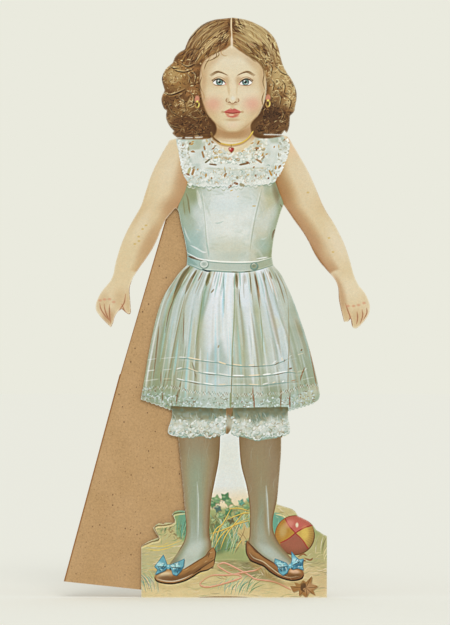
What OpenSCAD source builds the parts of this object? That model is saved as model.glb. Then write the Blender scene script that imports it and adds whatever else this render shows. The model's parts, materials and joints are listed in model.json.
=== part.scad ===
// A die-cut paper doll on an easel: a lithographed sheet mounted on pasteboard, with a
// folding easel of the same brown board pasted to its back and hinged on a linen strip.
//
// The doll stands in the XZ plane and faces -Y. The origin is the middle of the edge that it
// stands on, half way through the board. The easel is drawn opened out flat beside the doll.

/* [Figure] */
// Height of the printed figure, from the foot edge to the crown of the hair
doll_h = 240; // [200:1:280]
// Thickness of the pasteboard that stiffens the figure
board_t = 1; // [0.8:0.1:1.6]
// Thickness of the lithographed sheet with its paste
print_t = 0.2; // [0.1:0.05:0.4]

/* [Cuts and wear] */
// Width of the cut that frees the curls from the shoulders
slit_w = 0.3; // [0.2:0.05:0.5]
// Length of the stretch where the sheet has worn off the foot edge
worn_l = 21; // [10:1:24]
// Height of that worn stretch
worn_h = 0.5; // [0.2:0.1:1]

/* [Easel] */
// Height of both easel leaves along the crease
easel_h = 180; // [150:1:190]
// Thickness of the easel board
easel_t = 0.9; // [0.7:0.1:1.4]
// Distance of the crease from the middle of the figure
crease_offset = 16; // [14:0.5:18]
// Width of the leaf that is pasted to the figure, from the crease
leaf_w = 23; // [18:1:26]
// Cut across the free top corner of the pasted leaf
leaf_clip = 8; // [3:1:12]
// Width of the swinging leaf at its toe, from the crease
wing_foot_w = 54.5; // [46:0.5:60]
// Width of the swinging leaf at its top, from the crease
wing_top_w = 5.4; // [4:0.2:10]
// Height of the swinging leaf's toe, which sets how far the doll leans back
toe_rise = 6.6; // [4:0.2:9]
// Height of the swinging leaf's heel, beside the crease
heel_rise = 0.8; // [0.4:0.1:2]
// Width of the swinging leaf where the two cuts of its slanted edge meet, from the crease
wing_mid_w = 31.2; // [30:0.2:33]
// Height at which those two cuts meet
wing_mid_h = 92.6; // [80:1:105]
// Step that the second cut left there
cut_step = 0.4; // [0.2:0.1:1]

/* [Hinge] */
// Width of the linen strip that covers the crease
strip_w = 15; // [12:1:18]
// Thickness of the linen strip with its paste
strip_t = 0.2; // [0.1:0.05:0.4]
// Bare board left above and below the strip
strip_margin = 7; // [4:1:15]
// Gap between the two leaves along the crease
crease_gap = 0.6; // [0.4:0.1:1]
// Play between the swinging leaf and the figure's back
wing_play = 0.2; // [0.15:0.05:0.3]
// Play between the two halves of the strip when the leaf is folded over
fold_play = 0.2; // [0.1:0.05:0.3]

/* [Hidden] */

// Steps that a curve takes from one of its points to the next
curve_steps = 4;
// Overrun of the cuts that go through a sheet
overrun = 1;

// Depths, from the printed face back to the linen
board_front = -board_t / 2;
board_back = board_t / 2;
print_front = board_front - print_t;
leaf_back = board_back + easel_t;
strip_back = leaf_back + strip_t;
crease_x = -crease_offset;

// The die line was read off the picture in pixels. These place it on the sheet.
middle_px = 234;
crown_px = [233, 17.6];
foot_px = 597.5;
mm_per_px = doll_h / (foot_px - crown_px[1]);

// Where the lace of the hem starts and ends on either side
hem_left_px = [140.8, 398.8];
bloomer_left_px = [172.2, 410];
bloomer_right_px = [288, 410.9];
hem_right_px = [314, 403];

// Each run of the die line is a smooth curve from the end of the run before it, so corners
// lie only where one run ends. This is the viewer's left side, from the crown to the hem.
upper_left_px = [
    // crown and crown's side
    [[222, 18.7], [214, 19.8], [204, 23.6], [195, 30.8], [188.4, 40], [184.7, 49.3]],
    // four curls
    [[179, 52.6], [175.2, 56.8], [172.7, 62.8]],
    [[166.2, 68.4], [162.6, 75.2], [162, 81], [164.6, 90.2]],
    [[161.8, 96.8], [161.6, 102], [163.8, 108.2], [166.8, 110.5]],
    [[166, 117.5], [168.8, 125], [173.8, 131]],
    [[172.4, 133], [173.8, 135], [177.7, 137.9]],
    // shoulder frill
    [[177.7, 138.5]],
    [[170.3, 139.9], [167.4, 144], [163, 151.5]],
    // outside of the arm, down to the finger tips
    [
        [156, 164.5], [150.3, 177.5], [145.3, 193], [141, 206], [134.4, 217.5], [128, 229],
        [122.5, 241], [118.4, 253], [115.2, 264.5], [113.4, 274], [109.6, 281.8], [101.8, 291.2],
        [96.6, 301.5], [96.2, 310.5], [102.8, 319.3], [110.9, 327.4]
    ],
    // forefinger and thumb
    [[113.4, 322], [114.4, 317.6], [117.6, 312], [121.6, 309]],
    [[126.3, 313], [129.4, 314.3], [130.8, 311.5], [130.2, 301], [129.6, 288], [133.1, 277.4]],
    // inside of the arm, up to the armpit
    [[139, 268.4], [147.1, 257], [152.6, 248.5], [157.7, 238], [161.2, 229], [166, 219.3], [175.2, 208.2]],
    // side of the bodice, waist and skirt
    [[178.4, 211.2], [181, 224], [184, 236], [186.2, 248], [187.3, 256], [186.6, 265.5]],
    [
        [179.2, 273], [172.5, 282.4], [165.8, 292.4], [160.5, 304], [156.4, 317.2], [152.3, 335],
        [148.5, 354.7], [145.3, 374], hem_left_px
    ]
];
// From the hem down to the foot edge
lower_left_px = [
    // bloomer and stocking
    [[171.6, 418], [168, 429.6], [169.4, 434.4], [177.8, 436.8]],
    [[180.2, 460], [182.2, 482], [184.9, 510.9]],
    // leaves and banks of the ground
    [[179.1, 510.4], [174.6, 511.8], [172, 514.4]],
    [[174.8, 519.4], [174.6, 523]],
    [[165.7, 522.7], [163.3, 524.2], [158.6, 523.3], [153, 527.7]],
    [[155, 531.4], [158.8, 537.4]],
    [[153.2, 539.6], [148.3, 541.6], [141.3, 546]],
    [[141.3, 597.5]]
];
// The viewer's right side, from the foot edge up to the hem
lower_right_px = [
    [[327, 597.5]],
    [[327, 536.2]],
    [[323.3, 534.4], [319.4, 531.8], [316.2, 530]],
    // ball
    [[312.4, 524.6], [308, 521], [303.2, 518.6], [298, 516.2]],
    [[293.6, 510], [283, 506.2], [276.8, 504.4]],
    // stocking and bloomer
    [[278.2, 488], [280, 466], [281, 452], [281.2, 437.6]],
    [[288, 435.4], [290.2, 429.6], [288.2, 418], bloomer_right_px]
];
// From the hem up to the crown
upper_right_px = [
    [[318.6, 399.4], [319.9, 394.6]],
    // skirt, waist and side of the bodice
    [
        [317, 379], [312.4, 360], [308, 343.5], [302.8, 327], [297.2, 311], [291.7, 296.5],
        [286.5, 285], [280.4, 273.4], [273.4, 265.4]
    ],
    [[271.8, 256.5], [272.5, 247], [274.4, 235], [277.3, 223.5], [280.8, 212], [283.6, 204.6]],
    // inside of the arm, down to the thumb
    [
        [288.3, 211.5], [295, 221.5], [302.5, 231.5], [308.5, 241.5], [313.5, 251.7], [319, 261.3],
        [326.4, 269.7], [334.5, 279], [338.2, 288], [338.9, 299], [341, 309.5], [344, 321.6]
    ],
    [[347.8, 321.6], [350.8, 318.6]],
    // fingers
    [[352.3, 326.6], [355.4, 328.6], [359.6, 326.2]],
    // outside of the arm, up to the shoulder frill
    [
        [365.6, 319.4], [369.2, 312.6], [369.6, 303.6], [364.8, 292.8], [358.4, 284.6], [354, 275.4],
        [350.5, 262.6], [347.3, 252.4], [343.6, 242.2], [338.6, 231.8], [332.8, 221.5], [327.2, 213],
        [322.4, 204], [318.4, 194.5], [314.2, 184.5], [309.8, 174.6], [304.4, 164.4], [297.6, 152.6]
    ],
    [[293.2, 145.4], [289, 138.2], [286.2, 136], [281.2, 135.3]],
    // four curls
    [[281.2, 134.5]],
    [[283.3, 132.2], [284.6, 130.3], [285.8, 132.2], [287.4, 132], [289.3, 126.2], [289.8, 120], [290.1, 115.8]],
    [[294.2, 111.4], [295.3, 105.5], [296.6, 98.5], [296.2, 90.5], [292.4, 81], [287.2, 73.2]],
    // crown
    [
        [283, 65], [280.3, 55.8], [278.2, 47], [274.6, 38.4], [267.2, 30.2], [257, 24],
        [246, 19.7], crown_px
    ]
];

// Half waves of lace along each end of the hem, and how far they stand out
lace_count = 7;
lace_depth_px = 0.9;

// Cuts under the curls, so that the collar of a paper dress slips behind them. On one side
// three dashes leave two nicks that hold the curls, and on the other the cut is open.
curl_cuts_px = [
    [[174.5, 137.9], [182.2, 137.8]],
    [[184.9, 137.7], [192.7, 137.6]],
    [[195.1, 137.4], [202.6, 137.2]],
    [[264, 134.4], [283.4, 134.9]]
];

function last(list) = list[len(list) - 1];

// A Catmull-Rom curve through the points p, less its last point
function spline(p, i, t) =
    let (a = p[max(i - 1, 0)], b = p[i], c = p[i + 1], d = p[min(i + 2, len(p) - 1)])
    (2 * b + (c - a) * t + (2 * a - 5 * b + 4 * c - d) * t * t
        + (3 * b - a - 3 * c + d) * t * t * t) / 2;
function curve(p) = [
    for (i = [0 : 1 : len(p) - 2], k = [0 : curve_steps - 1]) spline(p, i, k / curve_steps)
];

// The runs joined into one line that starts at the point before them, less its last point
function line_of(before, runs) = [
    for (i = [0 : len(runs) - 1]) each curve(concat([i == 0 ? before : last(runs[i - 1])], runs[i]))
];

// Scallops from a to b: half sine waves that stand out to the right of the way along
function lace(a, b) =
    let (along = b - a, out = [-along[1], along[0]] / norm(along) * lace_depth_px)
    [for (i = [0 : lace_count * curve_steps - 1])
        let (t = i / (lace_count * curve_steps))
        a + along * t + out * abs(sin(180 * lace_count * t))];

die_line_px = concat(
    line_of(crown_px, upper_left_px),
    lace(hem_left_px, bloomer_left_px),
    line_of(bloomer_left_px, lower_left_px),
    line_of(last(last(lower_left_px)), lower_right_px),
    lace(bloomer_right_px, hem_right_px),
    line_of(hem_right_px, upper_right_px)
);

// Where a point of the picture lies on the sheet
function on_sheet(p) = [(p[0] - middle_px) * mm_per_px, (foot_px - p[1]) * mm_per_px];

// A sheet that stands in the XZ plane, its outline drawn by the children, between two depths
module sheet(front, back) {
    translate([0, back, 0])
        rotate([90, 0, 0])
            linear_extrude(back - front)
                children();
}

// The outline that one die cuts through the print and its board together
module die_line() {
    polygon([for (p = die_line_px) on_sheet(p)]);
}

// The thin cuts that free the curls
module curl_cuts() {
    for (cut = curl_cuts_px) {
        a = on_sheet(cut[0]);
        b = on_sheet(cut[1]);
        side = [a[1] - b[1], b[0] - a[0]] / norm(b - a) * slit_w / 2;
        polygon([a - side, b - side, b + side, a + side]);
    }
}

// The stretch of foot edge that has lost its paper, over the foot of the pasted leaf
module worn_foot() {
    steps = 5 * curve_steps;
    start = crease_x + (leaf_w - worn_l) / 2;
    polygon(concat(
        [[start + worn_l, -overrun], [start, -overrun]],
        [for (i = [0 : steps]) [start + worn_l * i / steps, worn_h * sqrt(sin(180 * i / steps))]]
    ));
}

// The lithographed sheet, which carries the whole picture
module print_sheet() {
    color("lightblue")
        difference() {
            sheet(print_front, board_front) die_line();
            sheet(print_front - overrun, board_front + overrun) curl_cuts();
            sheet(print_front - overrun, board_front + overrun) worn_foot();
        }
}

// The brown pasteboard behind the sheet, cut by the same die
module doll_board() {
    color("peru")
        difference() {
            sheet(board_front, board_back) die_line();
            sheet(board_front - overrun, board_back + overrun) curl_cuts();
        }
}

// The easel's leaf that is pasted to the figure's back and stands on the same foot edge
module easel_leaf() {
    edge = crease_x + crease_gap / 2;
    free = crease_x + leaf_w;
    color("tan")
        sheet(board_back, leaf_back)
            polygon([
                [edge, 0], [free, 0], [free, easel_h - leaf_clip], [free - leaf_clip, easel_h], [edge, easel_h]
            ]);
}

// The swinging leaf's outline, whose straight edge lies this far short of the crease
module wing_outline(gap) {
    edge = crease_x - gap;
    toe = [crease_x - wing_foot_w, toe_rise];
    mid = [crease_x - wing_mid_w, wing_mid_h];
    top = [crease_x - wing_top_w, easel_h];
    polygon([
        [edge, heel_rise], [edge, easel_h], top, mid + [cut_step / 2, 0],
        mid - [cut_step / 2, cut_step], toe
    ]);
}

// The easel's swinging leaf. Its foot slants up to the toe, so the doll leans back on it.
module easel_wing() {
    color("burlywood")
        sheet(board_back + wing_play, leaf_back) wing_outline(crease_gap / 2);
}

// The outline of one half of the linen strip, from the crease out: side is 1 or -1. The two
// halves are one strip of cloth, drawn a hair apart because they turn against each other.
module strip_outline(side) {
    near = crease_x + side * crease_gap / 4;
    far = crease_x + side * strip_w / 2;
    polygon([
        [near, strip_margin], [far, strip_margin],
        [far, easel_h - strip_margin], [near, easel_h - strip_margin]
    ]);
}

// The half that is pasted over the fixed leaf
module hinge_strip_fixed() {
    color("linen")
        sheet(leaf_back, strip_back) strip_outline(1);
}

// The half that is pasted over the swinging leaf, trimmed with it along the slanted edge
module hinge_strip_free() {
    color("antiquewhite")
        sheet(leaf_back, strip_back)
            intersection() {
                strip_outline(-1);
                wing_outline(0);
            }
}

print_sheet();
doll_board();
easel_leaf();
easel_wing();
hinge_strip_fixed();
hinge_strip_free();

echo(fold_axis = [crease_x, strip_back + fold_play / 2, 0]);
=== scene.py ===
# %% [markdown]
# # A die-cut paper doll with a folding easel
# A printed figure is pasted on brown pasteboard and cut out with one die. An easel of the
# same board is pasted to its back and folds out on a strip of linen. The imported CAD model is
# the frame: the boards keep their CAD shapes and get the finish of chipboard here. The
# picture is painted in this file, stroke by stroke, as a lithographer's drawing is built up.

# %% The frame
import json

import bpy
import numpy as np
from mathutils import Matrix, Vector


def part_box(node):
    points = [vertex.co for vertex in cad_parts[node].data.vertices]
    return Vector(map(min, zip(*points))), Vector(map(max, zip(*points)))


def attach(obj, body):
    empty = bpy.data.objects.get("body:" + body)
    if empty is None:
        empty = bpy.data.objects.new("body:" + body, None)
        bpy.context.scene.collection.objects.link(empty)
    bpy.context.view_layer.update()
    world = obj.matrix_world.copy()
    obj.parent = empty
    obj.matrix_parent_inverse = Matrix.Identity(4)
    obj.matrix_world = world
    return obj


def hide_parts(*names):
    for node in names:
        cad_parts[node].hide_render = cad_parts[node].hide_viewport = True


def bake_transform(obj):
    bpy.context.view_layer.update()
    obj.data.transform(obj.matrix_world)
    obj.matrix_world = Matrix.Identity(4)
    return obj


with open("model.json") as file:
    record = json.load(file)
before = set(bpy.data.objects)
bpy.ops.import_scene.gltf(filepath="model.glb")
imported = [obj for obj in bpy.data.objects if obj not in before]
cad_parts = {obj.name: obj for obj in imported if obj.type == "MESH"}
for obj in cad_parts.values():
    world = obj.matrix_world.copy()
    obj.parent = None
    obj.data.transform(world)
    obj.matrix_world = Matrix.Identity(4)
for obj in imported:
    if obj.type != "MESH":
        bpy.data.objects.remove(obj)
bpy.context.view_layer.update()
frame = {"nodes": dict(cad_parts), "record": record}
nodes = frame["nodes"]
sheet_low, sheet_high = (np.array(corner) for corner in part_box("print_sheet"))
print("nodes:", sorted(nodes))

# %% [markdown]
# ## Camera, light and ground
# The doll was photographed square on with a long lens, so the camera stands far away and its
# lens shows 258.7 mm of height at the printed face. The light is plain and soft: an even
# world and one broad lamp high in front, which together give a white card the brightness
# that its colour says. Camera rays that miss the doll see the pale paper of the backdrop.

# %% Camera
MIDDLE_PX, FOOT_PX = 234, 597.5  # the plan's column and row that lie at the origin
CROWN_PX = 17.6  # and the row of the sheet's top
PX = (sheet_high[2] - sheet_low[2]) / (FOOT_PX - CROWN_PX)  # one pixel of the plan, in metres
VIEW_WIDE_PX, VIEW_PX = 450, 625  # the view in pixels of the plan
VIEW_MIDDLE = ((VIEW_WIDE_PX / 2 - MIDDLE_PX) * PX, (FOOT_PX - VIEW_PX / 2) * PX)
DISTANCE = 2.4  # metres from the camera to the printed face
scene = bpy.context.scene
camera = bpy.data.objects.new("camera", bpy.data.cameras.new("camera"))
scene.collection.objects.link(camera)
scene.camera = camera
camera.data.sensor_width = 36
camera.data.lens = camera.data.sensor_width * DISTANCE / (VIEW_PX * PX)
camera.location = (VIEW_MIDDLE[0], sheet_low[1] - DISTANCE, VIEW_MIDDLE[1])
camera.rotation_euler = (np.pi / 2, 0, 0)
scene.view_settings.view_transform = "Standard"
print(f"one pixel is {PX * 1000:.4f} mm, the lens is {camera.data.lens:.0f} mm")


# %% [markdown]
# ## The inks
# A chromolithograph is printed from a dozen or so stones, one ink each, and its other tones
# come from inks over each other. So the whole picture uses this one small box of inks, and
# every stroke names the one it is drawn with.

# %% The box of inks
INKS = dict(
    white="f1f2ed", pearl="dfe2dd", mist="cdd4cd", haze="b9c4bb", ice="ccd8d6", sage="a6b09a",
    moss="8f9873", olive="847b57", straw="b9b691", putty="c8c8b5", aqua="a2bab1", teal="7f9c93",
    pine="577063", cream="e4d6ba", skin="dbc8a4", fawn="ccb086", tan="b8916a", bronze="a07648",
    sienna="8a5b38", umber="6a4a2e", bark="4a3424", soot="2f231a", drab="7f7152", khaki="9c9171",
    rose="c5675d", blush="dd9a88", crimson="a03c34", coral="cd8d70", peach="e6c2a4", gold="c8a556",
    amber="b8893c", honey="e3c766", earth="c6b886", sand="dbc898", reed="b1aa77", bracken="9aa26c",
    leaf="7f9e6e", fern="5a8358", jade="6aa08a", spring="b4c79a", sky="a9d6da", blue="6ea9b8",
    deep="3a6b80", flax="e0cf9c", wheat="c6b07c", walnut="7a5b38", slate="30454a", loam="6b6340",
    brass="a3814c", cocoa="87704f", cafe="98866a", lichen="96a08a", brick="a05f4c",
)


def tone(ink):
    """An ink's name, or a colour written as sRGB hex, as three shares."""
    code = INKS.get(ink, ink)
    return np.array([int(code[i : i + 2], 16) for i in (0, 2, 4)], np.float32) / 255


# %% Light and nodes
def linear(srgb):
    """sRGB shares as linear light: a short straight piece near black, then a power of 2.4."""
    srgb = np.asarray(srgb, np.float32)
    return np.where(srgb <= 0.04045, srgb / 12.92, ((srgb + 0.055) / 1.055) ** 2.4)


def in_turn(k, inks):
    """The name that number k picks from a text of ink names, which starts again at its end."""
    names = inks.split()
    return names[int(k) % len(names)]


def paint(code):
    """A hex colour as a node's socket takes it."""
    return (*(float(x) for x in linear(tone(code))), 1.0)


def add(tree, kind, settings=None, **inputs):
    """Adds a node. settings are its own values, and inputs are values or the outputs linked
    to its sockets; an underscore stands for a space, and a trailing number picks a socket."""
    node = tree.nodes.new("ShaderNode" + kind)
    for name, value in (settings or {}).items():
        setattr(node, name, value)
    for name, value in inputs.items():
        socket = node.inputs[int(name[1:])] if name[1:].isdigit() else node.inputs[name.replace("_", " ")]
        if isinstance(value, bpy.types.NodeSocket):
            tree.links.new(value, socket)
        else:
            socket.default_value = value
    return node


def multiply(tree, a, b):
    """The product of two numbers."""
    return add(tree, "Math", {"operation": "MULTIPLY"}, _0=a, _1=b).outputs[0]


def scaled(tree, colour, share):
    """A colour made darker or lighter by a number."""
    return add(tree, "VectorMath", {"operation": "SCALE"}, _0=colour, Scale=share).outputs[0]


def remap(tree, value, low, high, to_low, to_high):
    """A value between low and high as one between two others, which it doesn't leave."""
    return add(tree, "MapRange", _0=value, _1=low, _2=high, _3=to_low, _4=to_high).outputs[0]


def laid_over(tree, cover, colour, code):
    """A colour with another one over it, by the share that cover gives."""
    code = paint(code) if isinstance(code, str) else code
    return add(tree, "Mix", {"data_type": "RGBA"}, _0=cover, _6=colour, _7=code).outputs[2]


def noise(tree, place, scale, detail, rough=0.5):
    """Smooth noise with this many cells in a metre."""
    return add(tree, "TexNoise", Vector=place, Scale=scale, Detail=detail, Roughness=rough).outputs["Fac"]


def two_tones(tree, value, low, low_code, high, high_code):
    """A colour that goes from one hex colour to another as a value goes from low to high."""
    node = add(tree, "ValToRGB", Fac=value)
    for element, at, code in zip(node.color_ramp.elements, (low, high), (low_code, high_code)):
        element.position, element.color = at, paint(code)
    return node.outputs["Color"]


def surface(tree, output, colour, rough, specular=0.5, height=None, strength=0, deep=0):
    """Ends a material with a dull surface, and with a bump of some height where one is given."""
    inputs = {"Base_Color": colour, "Roughness": rough}
    if height is not None:
        inputs["Normal"] = add(tree, "Bump", Strength=strength, Distance=deep, Height=height).outputs[0]
    face = add(tree, "BsdfPrincipled", **inputs)
    face.inputs["Specular IOR Level"].default_value = specular
    tree.links.new(face.outputs[0], output.inputs[0])


def new_material(name):
    """An empty node material, its tree and its output node."""
    material = bpy.data.materials.new(name)
    material.use_nodes = True
    material.node_tree.nodes.clear()
    output = material.node_tree.nodes.new("ShaderNodeOutputMaterial")
    return material, material.node_tree, output


# %% World, lamp and ground
BACKDROP = "eaeade"  # pale studio paper
WORLD_LIGHT, LAMP_LIGHT = 0.72, 0.95

world = bpy.data.worlds.new("studio")
scene.world = world
world.use_nodes = True
sky = world.node_tree
sky.nodes.clear()
rays = add(sky, "LightPath")
seen = add(sky, "Math", {"operation": "MAXIMUM"}, _0=rays.outputs["Is Camera Ray"],
    _1=rays.outputs["Is Glossy Ray"])
seen = add(sky, "Math", {"operation": "MAXIMUM"}, _0=seen.outputs[0],
    _1=rays.outputs["Is Transmission Ray"])
lit = add(sky, "Background", Color=(1, 1, 1, 1), Strength=WORLD_LIGHT)
shown = add(sky, "Background", Color=paint(BACKDROP), Strength=1.0)
mixed = add(sky, "MixShader", Fac=seen.outputs[0], _1=lit.outputs[0], _2=shown.outputs[0])
sky.links.new(mixed.outputs[0], add(sky, "OutputWorld").inputs[0])

lamp = bpy.data.objects.new("lamp", bpy.data.lights.new("lamp", "SUN"))
scene.collection.objects.link(lamp)
lamp.data.energy = LAMP_LIGHT
lamp.data.angle = np.radians(25)
lamp.rotation_euler = (np.radians(52), np.radians(-8), np.radians(14))

GROUND_HALF = 6.0  # metres
corners = np.array([(-1, -1, 0), (1, -1, 0), (1, 1, 0), (-1, 1, 0)], float) * GROUND_HALF
ground_mesh = bpy.data.meshes.new("ground")
ground_mesh.from_pydata(corners.tolist(), [], [(0, 1, 2, 3)])
ground = bpy.data.objects.new("ground", ground_mesh)
scene.collection.objects.link(ground)
material, tree, output = new_material("studio_paper")
card = add(tree, "BsdfDiffuse", Color=paint("f4f4e9"))
tree.links.new(card.outputs[0], output.inputs[0])
ground_mesh.materials.append(material)
print("lamp and ground are in place")

# %% [markdown]
# ## The painter's tools
# The picture is painted on a fine grid of cells, each 0.3 pixel of the plan wide. Every tool
# is a formula on whole arrays. A wash fills a closed smooth outline and softens its edge, a
# brush lays round dabs along a smooth line, and strands are many lines blended between two.
# Each takes a tool and a table, and uses the tool once for every row.

# %% The sheet to paint on
CELL = 0.3
COLUMNS = np.arange(92, 374, CELL, dtype=np.float32)
ROWS = np.arange(14, 601, CELL, dtype=np.float32)
EVERYWHERE = (slice(0, ROWS.size), slice(0, COLUMNS.size))
picture = np.ones((ROWS.size, COLUMNS.size, 3), np.float32) * tone("dedccb")
print("cells:", picture.shape)


# %% Smooth lines
def pairs(*numbers):
    """The points of x, y, x, y and so on as rows of an array. Rows come back as they are."""
    return np.reshape(numbers, (-1, 2)).astype(float)


def smooth(points, gap=0.5, closed=False):
    """A Catmull-Rom line through the points: on each stretch the cubic whose slope at either
    end is half the step from the point before to the point after. Points may be pairs, or
    one flat list x, y, x, y and so on, here and in all tools."""
    p = pairs(points)
    ends = (p[-1:], p[:2]) if closed else (2 * p[:1] - p[1:2], 2 * p[-1:] - p[-2:-1])
    p = np.vstack([ends[0], p, ends[1]])
    longest = np.hypot(*np.diff(p[1:-1], axis=0).T).max()
    t = (np.arange(max(2, int(longest / gap))) / max(2, int(longest / gap)))[:, None, None]
    a, b, c, d = p[:-3], p[1:-2], p[2:-1], p[3:]
    line = (2 * b + (c - a) * t + (2 * a - 5 * b + 4 * c - d) * t**2 + (3 * b - a - 3 * c + d) * t**3) / 2
    return np.vstack([line.transpose(1, 0, 2).reshape(-1, 2), p[-2:-1]])


def evenly(points, count):
    """The same smooth line at this many places, equally far apart along it."""
    line = smooth(points)
    way = np.append(0, np.cumsum(np.hypot(*np.diff(line, axis=0).T)))
    at = np.linspace(0, way[-1], count)
    return np.column_stack([np.interp(at, way, line[:, 0]), np.interp(at, way, line[:, 1])])


def ellipse(x, y, wide, high, angles):
    """The points of an ellipse round x, y at these angles."""
    return np.column_stack([x + wide * np.cos(angles), y + high * np.sin(angles)])


# %% Washes and brushes
def window(low_x, high_x, low_y, high_y):
    """The rows and columns of cells that reach over a box of the plan."""
    left, right = np.searchsorted(COLUMNS, (low_x, high_x))
    top, bottom = np.searchsorted(ROWS, (low_y, high_y))
    return slice(top, bottom), slice(left, right)


def lay(cover, colour, place=EVERYWHERE, within=None):
    """Covers the cells at place with a colour, by the share that cover gives for each."""
    if within is not None:
        cover = cover * within[place]
    if isinstance(colour, str):
        colour = tone(colour)
    picture[place] += cover[..., None] * (colour - picture[place])


def feather(mask, width):
    """Softens a mask with two running means along each way, which give it a bell's slope."""
    n = int(width / CELL)
    for axis in (0, 1, 0, 1) if n else ():
        ends = [(n + 1, n) if a == axis else (0, 0) for a in (0, 1)]
        total = np.cumsum(np.pad(mask, ends, mode="edge"), axis=axis, dtype=np.float64)
        length = mask.shape[axis]
        ahead = total.take(range(2 * n + 1, 2 * n + 1 + length), axis)
        mask = (ahead - total.take(range(length), axis)) / (2 * n + 1)
    return mask.astype(np.float32)


def enclosed(starts, ends, columns, rows):
    """True at the places of a grid inside an outline of straight pieces from starts to ends:
    along a row, a place is inside once the outline was crossed an odd number of times."""
    (x0, y0), (x1, y1) = starts.T, ends.T
    row, piece = np.nonzero((y0 <= rows[:, None]) != (y1 <= rows[:, None]))
    rise, width = y1[piece] - y0[piece], x1[piece] - x0[piece]
    at = x0[piece] + (rows[row] - y0[piece]) / rise * width
    count = np.zeros((rows.size, columns.size + 1), np.int32)
    np.add.at(count, (row, np.searchsorted(columns, at)), 1)
    return np.cumsum(count, 1)[:, :-1] % 2 == 1


def filled(line, place):
    """1 inside a closed line and 0 outside."""
    return enclosed(line, np.roll(line, -1, 0), COLUMNS[place[1]], ROWS[place[0]]).astype(np.float32)


def closed_line(points, sharp):
    """A closed outline, with straight sides where it is sharp."""
    return pairs(points) if sharp else smooth(points, closed=True)


def stencil(points, edge=0.3, sharp=False):
    """A closed outline as a mask over the whole sheet."""
    return feather(filled(closed_line(points, sharp), EVERYWHERE), edge)


def wash(points, colour, strength=1.0, edge=0.5, within=None, sharp=False):
    """Fills a closed outline with a colour whose edge fades over edge pixels either way."""
    line = closed_line(points, sharp)
    reach = 2.2 * edge + 1
    (left, top), (right, bottom) = line.min(0) - reach, line.max(0) + reach
    place = window(left, right, top, bottom)
    lay(feather(filled(line, place), edge) * strength, colour, place, within)


def brush(points, width, colour, strength=1.0, soft=0.6, taper=0.3, within=None):
    """A stroke: round dabs along a smooth line, which grow over the first share taper of the
    way and shrink over the last, so both ends are pointed."""
    line = smooth(points, max(0.4, width / 5))
    way = np.linspace(0, 1, len(line))
    r = width / 2 * (np.clip(np.minimum(way, 1 - way) / taper, 0.05, 1) ** 0.6 if taper else 1 + 0 * way)
    reach = int((width / 2 + soft) / CELL) + 1
    (left, top), (right, bottom) = line.min(0) - reach * CELL, line.max(0) + reach * CELL
    place = window(left, right, top, bottom)
    shape = (place[0].stop - place[0].start, place[1].stop - place[1].start)
    if min(shape) < 1:
        return
    near = np.arange(-reach, reach + 1)
    column = np.rint((line[:, 0] - COLUMNS[0]) / CELL).astype(int)[:, None, None] + near[None, None, :]
    row = np.rint((line[:, 1] - ROWS[0]) / CELL).astype(int)[:, None, None] + near[None, :, None]
    dx = COLUMNS[0] + column * CELL - line[:, 0, None, None]
    dy = ROWS[0] + row * CELL - line[:, 1, None, None]
    dabs = np.clip((r[:, None, None] - np.sqrt(dx**2 + dy**2)) / soft + 0.5, 0, 1)
    column, row = np.broadcast_arrays(column - place[1].start, row - place[0].start)
    fits = (column >= 0) & (column < shape[1]) & (row >= 0) & (row < shape[0])
    cover = np.zeros(shape, np.float32)
    np.maximum.at(cover, (row[fits], column[fits]), dabs[fits])
    lay(cover * strength, colour, place, within)


def dab(x, y, wide, high, colour, strength=1.0, soft=1.0, turn=0.0, within=None):
    """A soft ellipse. soft is the share of its radius over which it fades."""
    reach = max(wide, high) * (1 + soft / 2) + 0.5
    place = window(x - reach, x + reach, y - reach, y + reach)
    dx, dy = np.meshgrid(COLUMNS[place[1]] - x, ROWS[place[0]] - y)
    c, s = np.cos(np.radians(turn)), np.sin(np.radians(turn))
    far = np.sqrt(((dx * c + dy * s) / wide) ** 2 + ((dy * c - dx * s) / high) ** 2)
    fade = np.clip((1 - far) / soft + 0.5, 0, 1)
    lay(fade * fade * (3 - 2 * fade) * strength, colour, place, within)


# %% Tables, strands and clouds
def each(tool, rows, *shared):
    """Uses a tool once for every row of its values; those that all rows share come last.
    Where a tool takes several inks, they are one text of names."""
    for row in rows:
        tool(*row, *shared)


def strands(first, last, count, width, tones, strength=0.8, seed=0, wander=0.6, within=None):
    """Strokes side by side: each is the first line blended towards the last by a random
    share, with a slow wander, and takes its tone from its place between them."""
    random, tones = np.random.default_rng(seed), tones.split()
    a, b = evenly(first, 12), evenly(last, 12)
    for share in random.random(count):
        start, stop = random.integers(0, 4), random.integers(9, 13)
        drift = np.cumsum(random.normal(0, wander / 4, (12, 2)), 0)
        line = (a * (1 - share) + b * share + drift)[start:stop]
        pick = int(np.clip(share * len(tones) + random.normal(0, 0.8), 0, len(tones) - 1))
        brush(line, width * random.uniform(0.5, 1.4), tones[pick], strength * random.uniform(0.5, 1), 0.5,
            0.4, within)


def cloud(size, seed):
    """Smooth noise from 0 to 1 over the sheet: random values on a coarse grid, blended with
    an eased step from one to the next along each way."""
    random = np.random.default_rng(seed)
    x, y = (COLUMNS - COLUMNS[0]) / size, (ROWS - ROWS[0]) / size
    coarse = random.random((int(y[-1]) + 2, int(x[-1]) + 2)).astype(np.float32)
    i, j, fx, fy = y.astype(int), x.astype(int), x % 1, y % 1
    fx, fy = fx * fx * (3 - 2 * fx), (fy * fy * (3 - 2 * fy))[:, None]
    upper = coarse[i][:, j] * (1 - fx) + coarse[i][:, j + 1] * fx
    lower = coarse[i + 1][:, j] * (1 - fx) + coarse[i + 1][:, j + 1] * fx
    return upper * (1 - fy) + lower * fy


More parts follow.
